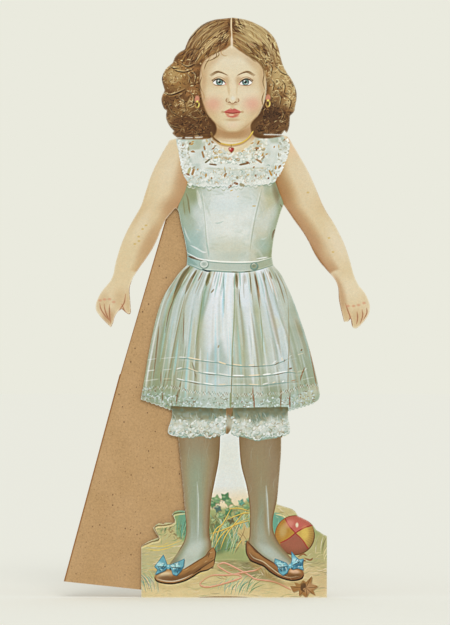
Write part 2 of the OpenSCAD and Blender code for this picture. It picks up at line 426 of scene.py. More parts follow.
def across(left, right):
    """How far each cell lies from a left line to a right one, with 0 and 1 on the lines.
    Both lines run down the picture."""
    left, right = (np.interp(ROWS, *smooth(side)[:, ::-1].T) for side in (left, right))
    return (COLUMNS[None, :] - left[:, None]) / np.maximum(right - left, 0.1)[:, None]


def down(top, bottom):
    """How far each row lies from one height to another, 0 to 1, also from a lower to a higher."""
    return np.clip((ROWS - top) / (bottom - top), 0, 1)[:, None]


def within_edges(share, steep, more=0.5):
    """1 where a share lies between 0 and 1 and 0 outside, with an edge that steep narrows."""
    return np.clip(share * steep + more, 0, 1) * np.clip((1 - share) * steep + more, 0, 1)


def ramp(share, *stops):
    """Colours that change with share through stops: a share, its ink, a share, its ink."""
    inks = np.array([tone(code) for code in stops[1::2]])
    return np.stack([np.interp(share, stops[::2], ink) for ink in inks.T], -1)


def blended(share, colours):
    """Whole pictures blended one into the next as share goes from 0 to 1."""
    steps = share * (len(colours) - 1)
    return sum(c * np.clip(1 - abs(steps - k), 0, 1)[..., None] for k, c in enumerate(colours))


# %% [markdown]
# ## Edges that several parts share
# Limbs, bodice and skirt lie between a left and a right edge. Each pair gives a share from 0
# to 1 across the form, and a form's colours are ramps along that share, so the shading turns
# round it as it does in the print.

# %% Edges
BODICE_LEFT = pairs(187.5, 184, 184, 194, 178.4, 206, 178.6, 213, 181, 224, 184, 236, 186.4, 248, 187, 264)
BODICE_RIGHT = pairs(
    275, 181, 279, 192, 283.5, 204, 280.6, 212, 277.3, 223.5, 274.4, 235, 272.5, 247, 272.6, 264,
)
SKIRT_LEFT = pairs(
    187, 262, 179, 273, 172.5, 282.4, 165.5, 292.4, 160, 304, 156, 317.2, 151.5, 335, 147.5, 354.7, 143.5,
    374, 139.5, 399, 138.5, 412,
)
SKIRT_RIGHT = pairs(
    273, 262, 280.4, 273.4, 286.5, 285, 291.7, 296.5, 297.2, 311, 302.8, 327, 308.4, 343.5, 313, 360, 318,
    379, 322, 398, 323, 412,
)
LEG_EDGES = {
    "left": (
        pairs(176.5, 430, 180, 460, 182, 482, 184.9, 511, 186.4, 527, 184.5, 540, 178, 552, 168, 566),
        pairs(220.4, 430, 219, 458, 215, 480, 211.4, 499, 209.8, 516, 209.2, 533, 211, 543, 213.5, 566),
    ),
    "right": (
        pairs(238.6, 430, 241, 463, 246.6, 486, 249.6, 505, 250, 520, 249.6, 535, 249, 543, 258, 553, 270,
            562, 278, 570),
        pairs(282.4, 430, 281.6, 452, 280.6, 466, 278.6, 488, 276, 504, 272.8, 520, 273.6, 532, 280, 545,
            293, 560, 302, 570),
    ),
}
bodice = across(BODICE_LEFT, BODICE_RIGHT)
skirt = across(SKIRT_LEFT, SKIRT_RIGHT)
print("the waist is", round(SKIRT_RIGHT[0][0] - SKIRT_LEFT[0][0]), "pixels wide")

# %% [markdown]
# ## The ground
# The figure stands on a bank of pale clay with ivy, dry grass, a ball, a leaf and a skipping
# rope. Washes give the banks, and many small strokes in a few greens give the growth.

# %% Strokes in numbers
def flicks(count, box, inks, seed, length=(4, 14), turn=0.0, spread=8.0, width=(0.5, 1.2),
        strength=(0.25, 0.6), within=None):
    """Short bent strokes at random places of a box (x, y, x, y). They lean turn degrees from
    level, give or take spread, and their middles bulge by a tenth of their length."""
    random, inks = np.random.default_rng(seed), inks.split()
    for k in range(count):
        x, y = random.uniform(box[:2], box[2:])
        angle, far = np.radians(turn + random.normal(0, spread)), random.uniform(*length)
        step = np.array([np.cos(angle), -np.sin(angle)]) * far
        bulge = np.array([step[1], -step[0]]) * random.normal(0, 0.1)
        line = np.array([(x, y), (x, y) + step / 2 + bulge, (x, y) + step])
        brush(line, random.uniform(*width), inks[k % len(inks)], random.uniform(*strength), 0.45, 0.4,
            within)


def tuft(x, y, wide, high, lean, count, inks, seed):
    """Grass: blades that start along a short line and bend over by lean as they rise."""
    random, inks = np.random.default_rng(seed), inks.split()
    for k in range(count):
        root, tall = x + random.uniform(-wide, wide), high * random.uniform(0.45, 1)
        over = lean * random.uniform(0.6, 1.3) + (root - x) * 0.3
        foot = y + random.uniform(-2, 2)
        brush([(root, foot), (root + over * 0.35, foot - tall * 0.6), (root + over, foot - tall)],
            random.uniform(0.5, 1.1), inks[k % len(inks)], random.uniform(0.5, 0.95), 0.4, 0.6)


def star(x, y, size, turn, reach):
    """A leaf's outline: points at equal angles round its middle, each as far out as reach says."""
    angle = np.radians(turn) + np.linspace(0, 2 * np.pi, len(reach), endpoint=False)
    return ellipse(x, y, size * np.array(reach), size * np.array(reach), angle)


# %% Banks and grass
random = np.random.default_rng(11)
place = window(130, 335, 497, 601)
bank = ramp(down(500, 598) + 0.35 * (cloud(16, 5) - 0.5) + 0.2 * (cloud(5, 6) - 0.5), 0, "reed", 0.3,
    "bracken", 0.5, "reed", 0.7, "earth", 1, "sand")
lay(np.ones(bank[place].shape[:2], np.float32), bank[place], place)
each(wash, [
    ((136, 545, 150, 541, 158, 537, 152, 527, 163, 522, 174, 520, 172, 513, 184, 509, 190, 530, 186, 548,
     170, 560, 150, 556, 136, 552), "earth", 0.8, 2),
    ((136, 552, 160, 548, 182, 546, 176, 560, 150, 572, 136, 576), "straw", 0.55, 4),
    ((173, 512, 180, 509, 188, 511, 189, 530, 185, 541, 177, 535, 175, 524), "leaf", 0.9, 1),
    ((180, 511, 188, 512, 189, 524, 185, 538, 180, 527), "jade", 0.75, 1),
    ((208, 556, 248, 546, 262, 562, 262, 575, 240, 574, 214, 566), "reed", 0.9, 3),
    ((216, 556, 238, 548, 252, 560, 246, 572, 226, 568), "olive", 0.5, 4),
    ((243, 560, 262, 566, 284, 583, 262, 580, 244, 575), "olive", 0.6, 2),
    ((300, 545, 330, 534, 330, 560, 312, 566, 300, 562), "reed", 0.85, 4),
    ((273, 502, 297, 512, 303, 518, 288, 521, 275, 517), "earth", 0.95, 0.8),
    ((274, 513, 290, 521, 284, 534, 274, 532), "jade", 0.95, 0.7),
    ((136, 584, 200, 592, 262, 590, 330, 588, 330, 602, 136, 602), "sand", 0.7, 3),
    ((280, 576, 330, 568, 330, 590, 300, 596), "fawn", 0.45, 5),
])
brush((275, 514, 283, 516, 289, 521), 1.5, "flax", 0.95)
flicks(420, (138, 552, 330, 598), "sand earth cream reed straw khaki fawn bracken", 21, (4, 15), 2, 7)
flicks(130, (138, 545, 200, 580), "earth spring straw cream bracken honey", 22, (4, 12), 8, 14)
flicks(70, (152, 520, 187, 548), "spring leaf olive straw fern bracken", 23, (3, 9), 40, 30)
flicks(110, (212, 552, 262, 577), "olive loam bracken brass reed bronze", 24, (3, 11), -8, 14)
flicks(80, (270, 555, 328, 580), "khaki bracken sand olive cream", 25, (3, 10), 8, 14)
flicks(26, (274, 504, 300, 519), "straw olive cream bracken", 26, (3, 8), -20, 16)
flicks(16, (166, 524, 182, 540), "loam brass walnut", 27, (2, 5), -30, 40, (0.8, 1.5))
for x, y, wide, high, lean, count, inks in [
    (150, 591, 9, 22, -10, 26, "teal deep spring jade cream"),
    (238, 593, 14, 18, 9, 34, "jade teal spring fern flax"), (222, 590, 8, 13, 6, 14, "teal spring straw"),
    (321, 553, 6, 18, 4, 18, "olive cream bracken straw"), (326, 560, 3, 12, 4, 8, "bracken flax"),
    (264, 575, 4, 9, -4, 9, "white flax spring"), (168, 532, 8, 9, 4, 14, "fern olive straw"),
    (180, 538, 5, 22, 3, 16, "fern jade spring pine"), (281, 532, 5, 15, 3, 14, "jade spring fern"),
    (300, 590, 10, 6, 5, 10, "straw cream"),
]:
    tuft(x, y, wide, high, lean, count, inks, int(x + y))
for line in [(141, 546, 152, 546, 166, 546, 182, 540), (146, 549, 160, 550, 178, 545)]:
    brush(line, 0.9, "honey", 0.8)
rim = pairs(136, 549, 142, 546, 151, 542, 159, 539, 155, 529, 157, 526, 167, 525, 174, 522, 173, 515, 177,
    513, 186, 512)
brush(rim + (0.9, 1.6), 1.4, "flax", 0.7, 0.5, 0.05)
brush(rim, 0.9, "umber", 0.75, 0.4, 0.05)

# %% Ivy and dry stalks between the feet
place = window(206, 253, 427, 560)
behind = ramp(down(486, 516) + 0 * COLUMNS, 0, "pearl", 0.4, "cream", 1, "flax")
lay(np.ones(behind[place].shape[:2], np.float32), behind[place], place)
each(wash, [
    ((206, 514, 214, 509, 226, 508, 238, 506, 252, 503, 253, 556, 230, 560, 206, 556), "bracken", 0.95,
     1.2),
    ((207, 528, 214, 516, 224, 532, 222, 552, 209, 552), "loam", 0.6, 2),
    ((210, 534, 222, 522, 236, 530, 232, 548, 214, 552), "fern", 0.55, 2),
    ((232, 528, 246, 520, 252, 534, 250, 548, 238, 546), "reed", 0.8, 2),
])
flicks(70, (207, 515, 252, 554), "loam pine fern olive", 31, (4, 10), 65, 40, (0.8, 1.8), (0.5, 0.9))
TUFTS = pairs(210, 8, 216, 12, 222, -10, 228, 12, 236, -8, 243, 9, 212, -5, 232, 10, 248, -9)
for k, (x, lean) in enumerate(TUFTS):
    tuft(x, 553 - (k % 3) * 9, 6, 32, lean, 14, "jade spring aqua fern flax bracken", 40 + k)
IVY = (1, 0.5, 0.85, 0.42, 0.62, 0.36, 0.62, 0.42, 0.85, 0.5)
for x, y, size, turn, ink in [
    (217, 500, 7, 200, "leaf"), (225, 498, 7, -60, "fern"), (213, 504, 5.4, 180, "fern"),
    (228, 502, 5.6, 20, "leaf"), (218, 508, 5.4, 110, "pine"), (228, 511, 6, 60, "fern"),
    (222, 516, 5, 160, "leaf"), (234, 508, 4.6, -30, "bracken"), (241, 503, 4.8, -70, "jade"),
    (246, 507, 4.6, 10, "leaf"), (249, 500, 4, -90, "jade"), (238, 514, 5, 80, "fern"),
    (214, 521, 4.6, 140, "bracken"), (231, 520, 5, 100, "loam"), (224, 526, 4.6, 30, "spring"),
]:
    wash(star(x + 0.6, y + 0.8, size, turn, IVY), "loam", 0.6, 0.3, sharp=True)
    wash(star(x, y, size, turn, IVY), ink, 1, 0.3, sharp=True)
    tip = (x + size * 0.9 * np.cos(np.radians(turn)), y + size * 0.9 * np.sin(np.radians(turn)))
    brush([(2 * x - tip[0], 2 * y - tip[1]), (x, y), tip], 0.6, "pine", 0.7, 0.4)
    dab(x - 1, y - 1.2, 1.6, 1, "spring", 0.5, 0.9)
for line in [
    (213, 551, 220, 537, 232, 526, 251, 517), (209, 534, 222, 530, 240, 523, 251, 520),
    (220, 550, 226, 535, 236, 522, 246, 509), (228, 509, 238, 508, 250, 511),
    (214, 545, 219, 530, 226, 518, 231, 508), (226, 520, 235, 516, 244, 513, 250, 513),
    (211, 541, 216, 529, 225, 523), (236, 549, 243, 538, 251, 530),
]:
    stalk = pairs(line)
    brush(stalk + (0, 0.5), 1.2, "brass", 0.8, 0.4)
    brush(stalk, 0.8, "honey", 0.95, 0.4)
wash((237, 534, 239, 527, 242, 530, 244, 522, 247, 528, 251, 527, 250, 533, 251, 537, 246, 539, 243, 546,
    241, 539), "wheat", 0.95, 0.4, sharp=True)
for line in [(239, 540, 243, 534, 245, 526), (241, 532, 244, 536, 247, 541), (238, 533, 242, 536)]:
    brush(line, 0.6, "walnut", 0.7, 0.4)
print("the ground is painted")

# %% The ball
BALL, BALL_SIZE, BALL_MEET = (294.8, 535.2), 19.6, (295.4, 533)
far = np.hypot(COLUMNS[None, :] - BALL[0], ROWS[:, None] - BALL[1])
ball = np.clip((BALL_SIZE - far) / 0.6 + 0.5, 0, 1)
around = np.degrees(np.arctan2(ROWS[:, None] - BALL_MEET[1], COLUMNS[None, :] - BALL_MEET[0])) % 360
# each gore from one angle to another, in degrees clockwise
for start, stop, ink in [(-26, 48, "gold"), (48, 144, "brick"), (144, 232, "amber"), (232, 334, "rose")]:
    apart = np.abs((around - (start + stop) / 2 + 180) % 360 - 180)
    lay(ball * np.clip(((stop - start) / 2 - apart) * np.maximum(far, 3) / 30 + 0.5, 0, 1), ink)
rays = 0.5 + 0.5 * np.sin(np.radians(around) * 44)  # fine rays from the point where the gores meet
lay(ball * rays * 0.22 * np.clip(far / 8, 0, 1), "bronze")
rim = np.clip((far - BALL_SIZE * 0.55) / (BALL_SIZE * 0.5), 0, 1) ** 1.7 * ball
below = np.clip(((COLUMNS[None, :] - BALL[0]) * 0.5 + (ROWS[:, None] - BALL[1])) / BALL_SIZE + 0.35, 0, 1)
lay(rim * below * 0.7, "umber")
lay(rim * (1 - below) * 0.35, "sienna")
for x, y in [(285.1, 518.8), (312.3, 525.2), (307.9, 548.2), (280.6, 542.9)]:
    bend = (
        (BALL_MEET[0] + x) / 2 + (y - BALL_MEET[1]) * 0.05,
        (BALL_MEET[1] + y) / 2 - (x - BALL_MEET[0]) * 0.05,
    )
    brush([BALL_MEET, bend, (x, y)], 1.2, "crimson", 0.9, 0.4, 0)
for start, stop, width, ink in [(0, 2 * np.pi, 0.9, "sienna"), (-0.3, 2.2, 1.1, "umber")]:
    ring = np.linspace(start, stop, 50)
    brush(ellipse(*BALL, BALL_SIZE, BALL_SIZE, ring), width, ink, 0.85, 0.4, 0.1)
for x, y, wide, high, ink, turn in [
    (289, 524, 5, 3.6, "blush", -30), (305, 533, 3.6, 6, "honey", 0), (283, 531, 3.6, 6, "wheat", 10),
    (297, 525, 1.4, 2.3, "cream", 0),
]:
    dab(x, y, wide, high, ink, 0.55 if wide > 2 else 0.95, 1.1, turn, ball)

# %% Rope and fallen leaf
for line in [
    (219, 564, 225, 563, 236, 568, 249, 575, 256, 579, 275, 582, 292, 590),
    (219, 564, 218, 566, 224, 570, 232, 574, 239, 575, 240, 578, 222, 584, 207, 587, 200, 584, 206, 578,
     214, 575, 228, 575, 245, 572, 256, 570, 263, 566),
]:
    rope = pairs(line)
    for shift, width, ink, strength in (
        (0.9, 1, "brass", 0.45), (0, 1.5, "coral", 0.9), (-0.3, 0.6, "peach", 0.8),
    ):
        brush(rope + (0, shift), width, ink, strength, 0.4, 0.05)
LEAF = pairs(
    290, 586, 296, 586, 294, 582, 300, 584, 303, 580, 306, 582, 312, 576, 311, 584, 318, 586, 313, 590, 315,
    595, 309, 592, 306, 598, 302, 594, 299, 596, 299, 590, 293, 592,
)
wash(LEAF + (0.8, 1), "walnut", 0.6, 0.5, sharp=True)
wash(LEAF, "bronze", 1, 0.2, sharp=True)
wash((303, 589, 310, 583, 316, 587, 311, 590, 308, 594), "tan", 0.7, 0.9)
wash((301, 584, 305, 583, 306, 587, 303, 589, 305, 592, 301, 590), "bark", 0.7, 0.4)
for x, y in [(292, 587), (303, 581), (311, 577), (317, 587), (313, 594), (307, 596), (300, 595)]:
    brush([(306, 588), (x, y)], 0.6, "umber", 0.85, 0.4)
for line in [(298, 557, 303, 554, 307, 556), (304, 558, 310, 560, 313, 558), (301, 560, 306, 561)]:
    brush(line, 1.8, "sienna", 0.8, 0.5)
print("the ball, the rope and the leaf are painted")

# %% [markdown]
# ## Stockings and slippers
# A stocking is a tube: its tone runs from a brown edge over grey-green to a brown edge, and
# gets greener and paler towards the ankle. A fine pale line marks the shin.

# %% Stockings
KNEE, SOLE = 428, 569  # the rows where a stocking is seen first and last

for side, (left, right) in LEG_EDGES.items():
    tube, lit = across(left, right), side == "left"
    paler, palest = ("khaki", "lichen") if lit else ("cafe", "khaki")
    inside = within_edges(tube, 60) * ((ROWS > KNEE) & (ROWS < SOLE))[:, None]
    turn = np.clip(1 - (2 * tube - 1 + (0.12 if lit else 0.05)) ** 2, 0, 1)  # 1 where the tube faces us
    knee = ramp(turn, 0, "cocoa", 0.3, "cocoa", 0.8, "cafe", 1, "cafe")
    shin = ramp(turn, 0, "cocoa", 0.3, "cafe", 0.62, paler, 1, palest)
    calf = ramp(turn, 0, "cocoa", 0.25, "cafe", 0.55, "khaki", 0.85, palest, 1, "lichen")
    ankle = ramp(turn, 0, "cocoa", 0.3, "khaki", 0.6, "lichen", 0.9, "haze", 1, "haze")
    lay(inside, blended(down(432, 562) + 0 * tube + 0.1 * (cloud(14, 9) - 0.5), [knee, shin, calf, ankle]))
    lay(inside * (0.03 if lit else 0.22), "cocoa")
    for edge, shift in ((left, 0.4), (right, -0.4)):
        brush(edge[edge[:, 1] < 560] + (shift, 0), 0.9, "walnut", 0.6, 0.6, 0.05)
    flicks(70, (left[0][0] + 6, 455, right[0][0] - 4, 545), "haze cocoa lichen khaki", 51, (8, 20),
        90 if lit else 86, 2, (0.4, 0.8), (0.08, 0.2), inside)
    flicks(40, (left[0][0] + 2, 434, right[0][0], 450), "sienna drab cocoa", 52, (4, 10), 88, 3, (0.4, 0.8),
        (0.1, 0.3), inside)
for line in [(197, 482, 198, 500, 198, 520, 197.5, 542), (266, 486, 267, 500, 268, 520, 269, 535)]:
    shine = pairs(line)
    brush(shine, 2.6, "haze", 0.45, 1.8)
    brush(shine + (0.3, 0), 0.8, "mist", 0.7, 0.4)
dab(196, 549, 12, 6, "mist", 0.5, 1.2, -35)
dab(268, 552, 12, 5, "haze", 0.6, 1.2, 35)

# %% Slippers
LEFT_SHOE = (
    154.5, 577, 157, 573, 163, 570.6, 171, 569, 180, 571, 188, 566.5, 197, 561, 205, 556, 209.4, 550, 213.4,
    547.4, 215.6, 552.5, 214.4, 560, 213.6, 565.6, 207, 569.8, 200, 571.4, 192, 577, 184, 581, 172, 583.6,
    161, 583, 155.4, 580,
)
wash((156, 580, 170, 586, 190, 582, 212, 570, 218, 562, 216, 572, 196, 584, 170, 590, 154, 586), "wheat",
    0.6, 1.6)
wash(LEFT_SHOE, "bronze", 1, 0.4)
left_shoe = stencil(LEFT_SHOE)
wash((168, 571, 181, 571.6, 196, 562, 207, 555, 213, 549, 213.6, 558, 205, 565.6, 192, 573, 178, 579, 168,
    579), "bronze", 0.8, 0.9)
wash((157, 576, 163, 571.8, 171, 571, 172, 577, 164, 579.5, 158, 579), "fawn", 0.9, 1.2)
dab(165, 574.2, 4.5, 2, "skin", 0.75, 1, -10)
wash((157, 578, 166, 575.4, 178, 576, 192, 570.6, 206, 563, 213, 560, 206, 567, 192, 575, 178, 580.6, 166,
    581), "umber", 0.75, 1.2, left_shoe)
flicks(26, (160, 552, 212, 580), "umber fawn bark tan", 63, (4, 11), 28, 8, (0.5, 0.9), (0.25, 0.6),
    left_shoe)
brush((154.6, 577.4, 156.6, 580.8, 163, 583, 173, 583.6, 184, 581, 192, 577, 200, 572, 207.4, 569.8, 213.6,
    566), 1.5, "soot", 0.95, taper=0.12)
brush((156.6, 578.8, 164, 580.8, 174, 581.2, 184, 578.4, 193, 574), 0.8, "cream", 0.9)
brush((193, 574, 201, 568.6, 209, 563.6, 214.6, 559), 1.3, "bark", 0.9)
wash((201, 569.2, 214, 560.6, 213.4, 565.6, 207, 569.4), "bronze", 0.95, 0.4)
brush((180, 571.4, 188, 567, 197, 561.4, 205, 556.4, 209, 551, 213, 547.6), 0.9, "umber", 0.9)
brush((213.6, 547.6, 215.6, 552.6, 214.6, 560, 213.8, 565), 1, "bark", 0.9)
brush((206, 557, 209.4, 553, 208, 557.6), 1.2, "umber", 0.8)
RIGHT_SHOE = (
    247, 541, 250.6, 544.4, 256, 550, 263, 556, 271, 561, 279, 566, 288, 568, 297, 566, 302, 569.6, 304,
    574.6, 301, 579, 292, 580.6, 281, 578, 271, 572.6, 264, 566.6, 257, 563.4, 250.4, 560.4, 246.6, 553,
)
wash((248, 556, 266, 570, 284, 583, 304, 580, 300, 585, 280, 584, 256, 570), "brass", 0.55, 1.6)
wash(RIGHT_SHOE, "sienna", 1, 0.4)
right_shoe = stencil(RIGHT_SHOE)
wash((248, 545, 255, 551, 265, 559, 276, 566, 284, 571, 282, 576, 270, 569.6, 260, 561.6, 250, 556),
    "bronze", 0.85, 0.8)
wash((284, 570, 292, 567.6, 300, 569, 302, 574, 296, 577.8, 287, 576), "bronze", 0.95, 1)
dab(294.5, 571.6, 5, 2.2, "peach", 0.8, 1, 8)
wash((249, 553, 258, 559, 270, 566, 284, 573, 300, 574, 298, 579, 284, 577, 268, 569.6, 252, 560), "umber",
    0.75, 1.2, right_shoe)
flicks(26, (250, 546, 302, 579), "umber fawn bark tan", 64, (4, 11), -34, 8, (0.5, 0.9), (0.25, 0.6),
    right_shoe)
brush((248, 557, 251, 560.6, 257, 563.4, 264, 566.4, 271, 572.4, 281, 577.8, 292, 580.4, 301, 578.8, 304,
    574.6), 1.5, "soot", 0.95, taper=0.1)
brush((249.4, 553, 254, 558, 263, 561.6, 270, 567, 278, 573, 288, 577.2, 299, 576.4), 0.8, "skin", 0.85)
brush((246.8, 541.6, 250.6, 544.8, 256, 550.4, 263, 556.4, 271, 561.4, 279, 566), 1.1, "bark", 0.95)
brush((246.6, 541, 246, 547, 246.8, 554, 250, 560), 1.2, "bark", 0.95)
print("stockings and slippers are painted")

# %% Bows
BOWS = [  # each bow's left loop, right loop and knot
    (
        pairs(154.5, 566.5, 158.6, 561.4, 163.4, 554.8, 166, 561.6, 168, 566.6, 165, 570.4, 160.4, 572.4,
            155.4, 574.6, 157.6, 569.6),
        pairs(169, 565.4, 174, 563.4, 178, 562, 184.4, 558.8, 183.6, 565.6, 180.8, 571, 176.6, 575.6,
            172.8, 574.4, 171.6, 570),
        (168.6, 566.8),
    ),
    (
        pairs(275, 558.6, 281, 560.8, 286.4, 563, 289.4, 567.6, 287, 573, 283, 575.4, 279, 572.6, 277.6,
            566.6, 274.6, 562.8),
        pairs(291.4, 551.6, 295.6, 556.6, 299, 559.6, 303.4, 558.8, 302.6, 565, 303.4, 570, 297.4, 568,
            292.6, 569.4, 290.2, 566.6, 292, 560),
        (290.4, 566.2),
    ),
]
for left_loop, right_loop, knot in BOWS:
    for loop in (left_loop, right_loop):
        middle = np.mean(loop, 0)
        wash(loop + (0.5, 0.9), "slate", 0.7, 0.5, sharp=True)
        wash(loop, "blue", 1, 0.35, sharp=True)
        within = stencil(loop, 0.3, sharp=True)
        dab(*(middle + (-1, -1.6)), 5.4, 2.6, "sky", 0.9, 1.1, 25, within)
        dab(*(middle + (2, 2.4)), 4.6, 2.2, "deep", 0.9, 1.1, -20, within)
        for k in range(26):
            at = middle + random.normal(0, 3.4, 2)
            brush([at, at + random.normal(0, 2.6, 2)], 0.8, in_turn(k, "slate pearl blue sky deep"), 0.75,
                within=within)
        brush([knot, middle + (0.6, 0.4), middle + (middle - knot) * 0.5], 0.9, "slate", 0.8, within=within)
        for side in zip(loop, np.roll(loop, -1, 0)):
            brush(side, 0.6, "deep", 0.8, taper=0.1)
    dab(*knot, 2.1, 2.4, "blue", 1, 0.5)
    dab(knot[0] - 0.4, knot[1] - 0.8, 1, 0.8, "sky", 0.9, 0.6)
    brush([(knot[0] + 1.4, knot[1] + 1), (knot[0] + 1.8, knot[1] + 3.6)], 1.4, "slate", 0.9)

# %% [markdown]
# ## Arms and hands
# The arms are bare: warm cream skin with a brown turn on the inner side and a fine reddish
# outline, which is the drawing stone's work. Fingers are parted by thin lines with a touch
# of red at each knuckle.

# %% Arms
LEFT_ARM = (
    pairs(177, 134, 168, 141, 161, 152, 154, 165, 148.5, 177.5, 143.5, 193, 139, 206, 132.5, 217.5, 126,
        229, 120.5, 241, 116.4, 253, 113.2, 264.5, 110.6, 276),
    pairs(192, 134, 190, 160, 188, 185, 178, 207, 168, 220, 162, 230, 158.6, 238, 153.4, 248.5, 148, 257,
        140, 268.4, 133.6, 277),
)
RIGHT_ARM = (
    pairs(268, 134, 272, 160, 276, 182, 284, 205, 289, 211.5, 296, 221.5, 303, 231.5, 309, 241.5, 314,
        251.7, 320, 261.3, 327, 269.7, 334, 279),
    pairs(284, 134, 293.2, 143, 299.6, 152.6, 306.4, 164.4, 312, 174.6, 316.2, 184.5, 320.4, 194.5, 324.4,
        204, 329.2, 213, 334.8, 221.5, 340.6, 231.8, 345.6, 242.2, 349.3, 252.4, 352.5, 262.6, 356, 275.4),
)
SHOULDER, WRIST = 134, 281  # rows
arms = [
    (LEFT_ARM, 0, "fawn", 0.12, "skin", 0.35, "skin", 0.62, "skin", 0.85, "fawn", 1, "tan"),
    (RIGHT_ARM, 0, "bronze", 0.1, "tan", 0.28, "fawn", 0.5, "skin", 0.92, "skin", 1, "tan"),
]
wash((168, 130, 182, 126, 196, 140, 190, 188, 176, 210, 160, 226, 140, 210, 150, 170), "skin", 1, 2)
wash((268, 126, 284, 128, 300, 145, 330, 205, 300, 222, 282, 204, 270, 182), "skin", 1, 2)
for (left, right), *stops in arms:
    limb = across(left, right)
    inside = within_edges(limb, 40, 0.8) * down(SHOULDER, SHOULDER + 3) * down(WRIST, WRIST - 3)
    lay(inside, ramp(limb + 0.06 * (cloud(18, 3) - 0.5), *stops))
for x, y, wide, high, ink, strength, turn in [
    (184, 182, 9, 26, "tan", 0.75, 12), (172, 208, 10, 12, "tan", 0.75, 40),
    (142, 216, 16, 10, "fawn", 0.5, -40), (148, 242, 5, 20, "tan", 0.5, 28),
    (123, 262, 9, 12, "skin", 0.5, 0), (282, 188, 9, 20, "bronze", 0.5, -22),
    (302, 222, 6, 26, "tan", 0.6, -38), (312, 240, 5, 14, "tan", 0.6, -34),
    (336, 276, 5, 18, "tan", 0.7, -26), (325, 205, 10, 12, "fawn", 0.4, -40),
    (292, 146, 12, 9, "peach", 0.4, 40), (166, 178, 6, 24, "cream", 0.25, 22),
    (142, 224, 5, 18, "cream", 0.6, 30), (310, 186, 6, 24, "cream", 0.2, -22),
    (336, 240, 5, 20, "cream", 0.6, -26),
]:
    dab(x, y, wide, high, ink, strength, 1.5, turn)
for edge, code, strength in [
    (LEFT_ARM[0], "bronze", 0.7), (LEFT_ARM[1], "walnut", 0.75), (RIGHT_ARM[0], "sienna", 0.6),
    (RIGHT_ARM[1], "tan", 0.75),
]:
    brush(edge[edge[:, 1] > 150], 1.3, code, strength, taper=0.06)

# %% Hands
wash((108, 272, 136, 272, 134, 284, 131, 300, 134, 316, 124, 318, 117, 318, 112, 330, 98, 322, 93, 306, 96,
    292), "skin", 1, 1)
wash((332, 272, 360, 270, 372, 296, 372, 318, 360, 332, 344, 328, 338, 306, 335, 288), "skin", 1, 1)
for x, y, wide, high, code, turn in [
    (103, 303, 6, 9, "fawn", 10), (121, 300, 7, 10, "fawn", 0), (129, 302, 3, 12, "fawn", 0),
    (108, 318, 6, 8, "tan", 30), (352, 288, 11, 11, "cream", 30), (341, 300, 5, 15, "tan", -8),
    (366, 306, 5, 9, "skin", 0), (358, 318, 8, 8, "fawn", 0), (346, 314, 4, 8, "fawn", 0),
    (336, 284, 4, 9, "tan", -20),
]:
    dab(x, y, wide, high, code, 0.7, 1.4, turn)
fingers = [
    (99.6, 303.5, 101, 309, 104.6, 315, 108.8, 320), (104.2, 304, 105, 310, 107.4, 316.5, 110, 321),
    (109.4, 304.5, 109.4, 310, 109.8, 317, 110.6, 323), (118, 312, 121.6, 307, 124.4, 302, 125.6, 294),
    (121.6, 304, 124.8, 311, 127.6, 313.6), (113.8, 322.6, 115, 317.6, 118.6, 311),
    (357, 311.6, 357.6, 318, 356.6, 324), (362.2, 309.6, 362.6, 316, 360.2, 323.6),
    (366.6, 308, 366.8, 313, 363.6, 319.6), (345.4, 303.5, 348, 311, 350.6, 318, 352, 325),
    (349.6, 316, 350.4, 321, 349, 318),
]
for finger in fingers:
    brush(finger, 1.9, "coral", 0.4, 1.4)
    brush(finger, 0.8, "sienna", 0.65)
for x, y in [
    (100, 300.4), (104.6, 299.4), (109.4, 299.2), (113.6, 302), (353.6, 306), (358.6, 305), (364, 303),
    (348, 306),
]:
    dab(x, y, 1.7, 1.2, "coral", 0.5, 1.4)
for outline in [
    (110.6, 276, 106, 283.6, 99.6, 291.6, 95.6, 302, 95.8, 311, 102.6, 319.8, 110.8, 327.8),
    (111, 327, 114, 321.6, 115.6, 316, 121.6, 309, 126.4, 313.4, 130, 313.8, 131, 310, 130.2, 299, 129.6,
     288, 133.4, 277.6),
    (356, 275.4, 360, 285, 366.4, 293, 370.4, 303.6, 369.8, 313, 365.8, 320, 359.6, 326.8, 355.4, 329),
    (338.4, 287, 339, 299, 341.2, 310, 344.2, 322, 348, 322, 350.8, 318.8, 352.6, 327),
]:
    brush(outline, 1.2, "sienna", 0.75, taper=0.05)
for x, y in [
    (308, 192.5), (139, 241), (134.8, 244), (138.6, 236.6), (142.6, 229), (146, 225.4), (333, 252),
    (329, 238),
]:
    dab(x, y, 1.3, 0.9, "gold", 0.5, 1.3)
print("arms and hands are painted")

# %% [markdown]
# ## The skirt
# Every gather of the skirt starts at the waistband and widens on its way down, so it keeps
# its share across the cloth. A gather takes light away along a bell across its line, and the
# light that is left picks the ink. The folds' sharp edges are strokes that keep their share.

# %% The skirt's light and shade
# Each gather: its share across the skirt at the waist and at the hem, its half width at each,
# and how much light it takes away at each.
GATHERS = [
    (0, 0, 0.03, 0.04, 0.45, 0.35), (0.09, 0.07, 0.03, 0.035, 0.75, 0.4),
    (0.19, 0.165, 0.03, 0.05, 0.45, 0.45), (0.31, 0.3, 0.035, 0.04, 0.85, 0.3),
    (0.57, 0.545, 0.03, 0.05, 0.8, 0.35), (0.69, 0.72, 0.03, 0.05, 0.6, 0.4),
    (0.745, 0.77, 0.03, 0.04, 0.5, 0.2), (0.92, 0.905, 0.045, 0.05, 0.55, 0.5),
    (1, 0.98, 0.05, 0.06, 0.5, 0.45), (0.24, 0.25, 0.015, 0.03, 0.2, 0.2),
    (0.62, 0.61, 0.015, 0.03, 0.1, 0.2), (0.85, 0.85, 0.03, 0.04, 0.15, 0.1),
]
WAIST, HEM = 262, 413  # the rows between which the skirt is seen
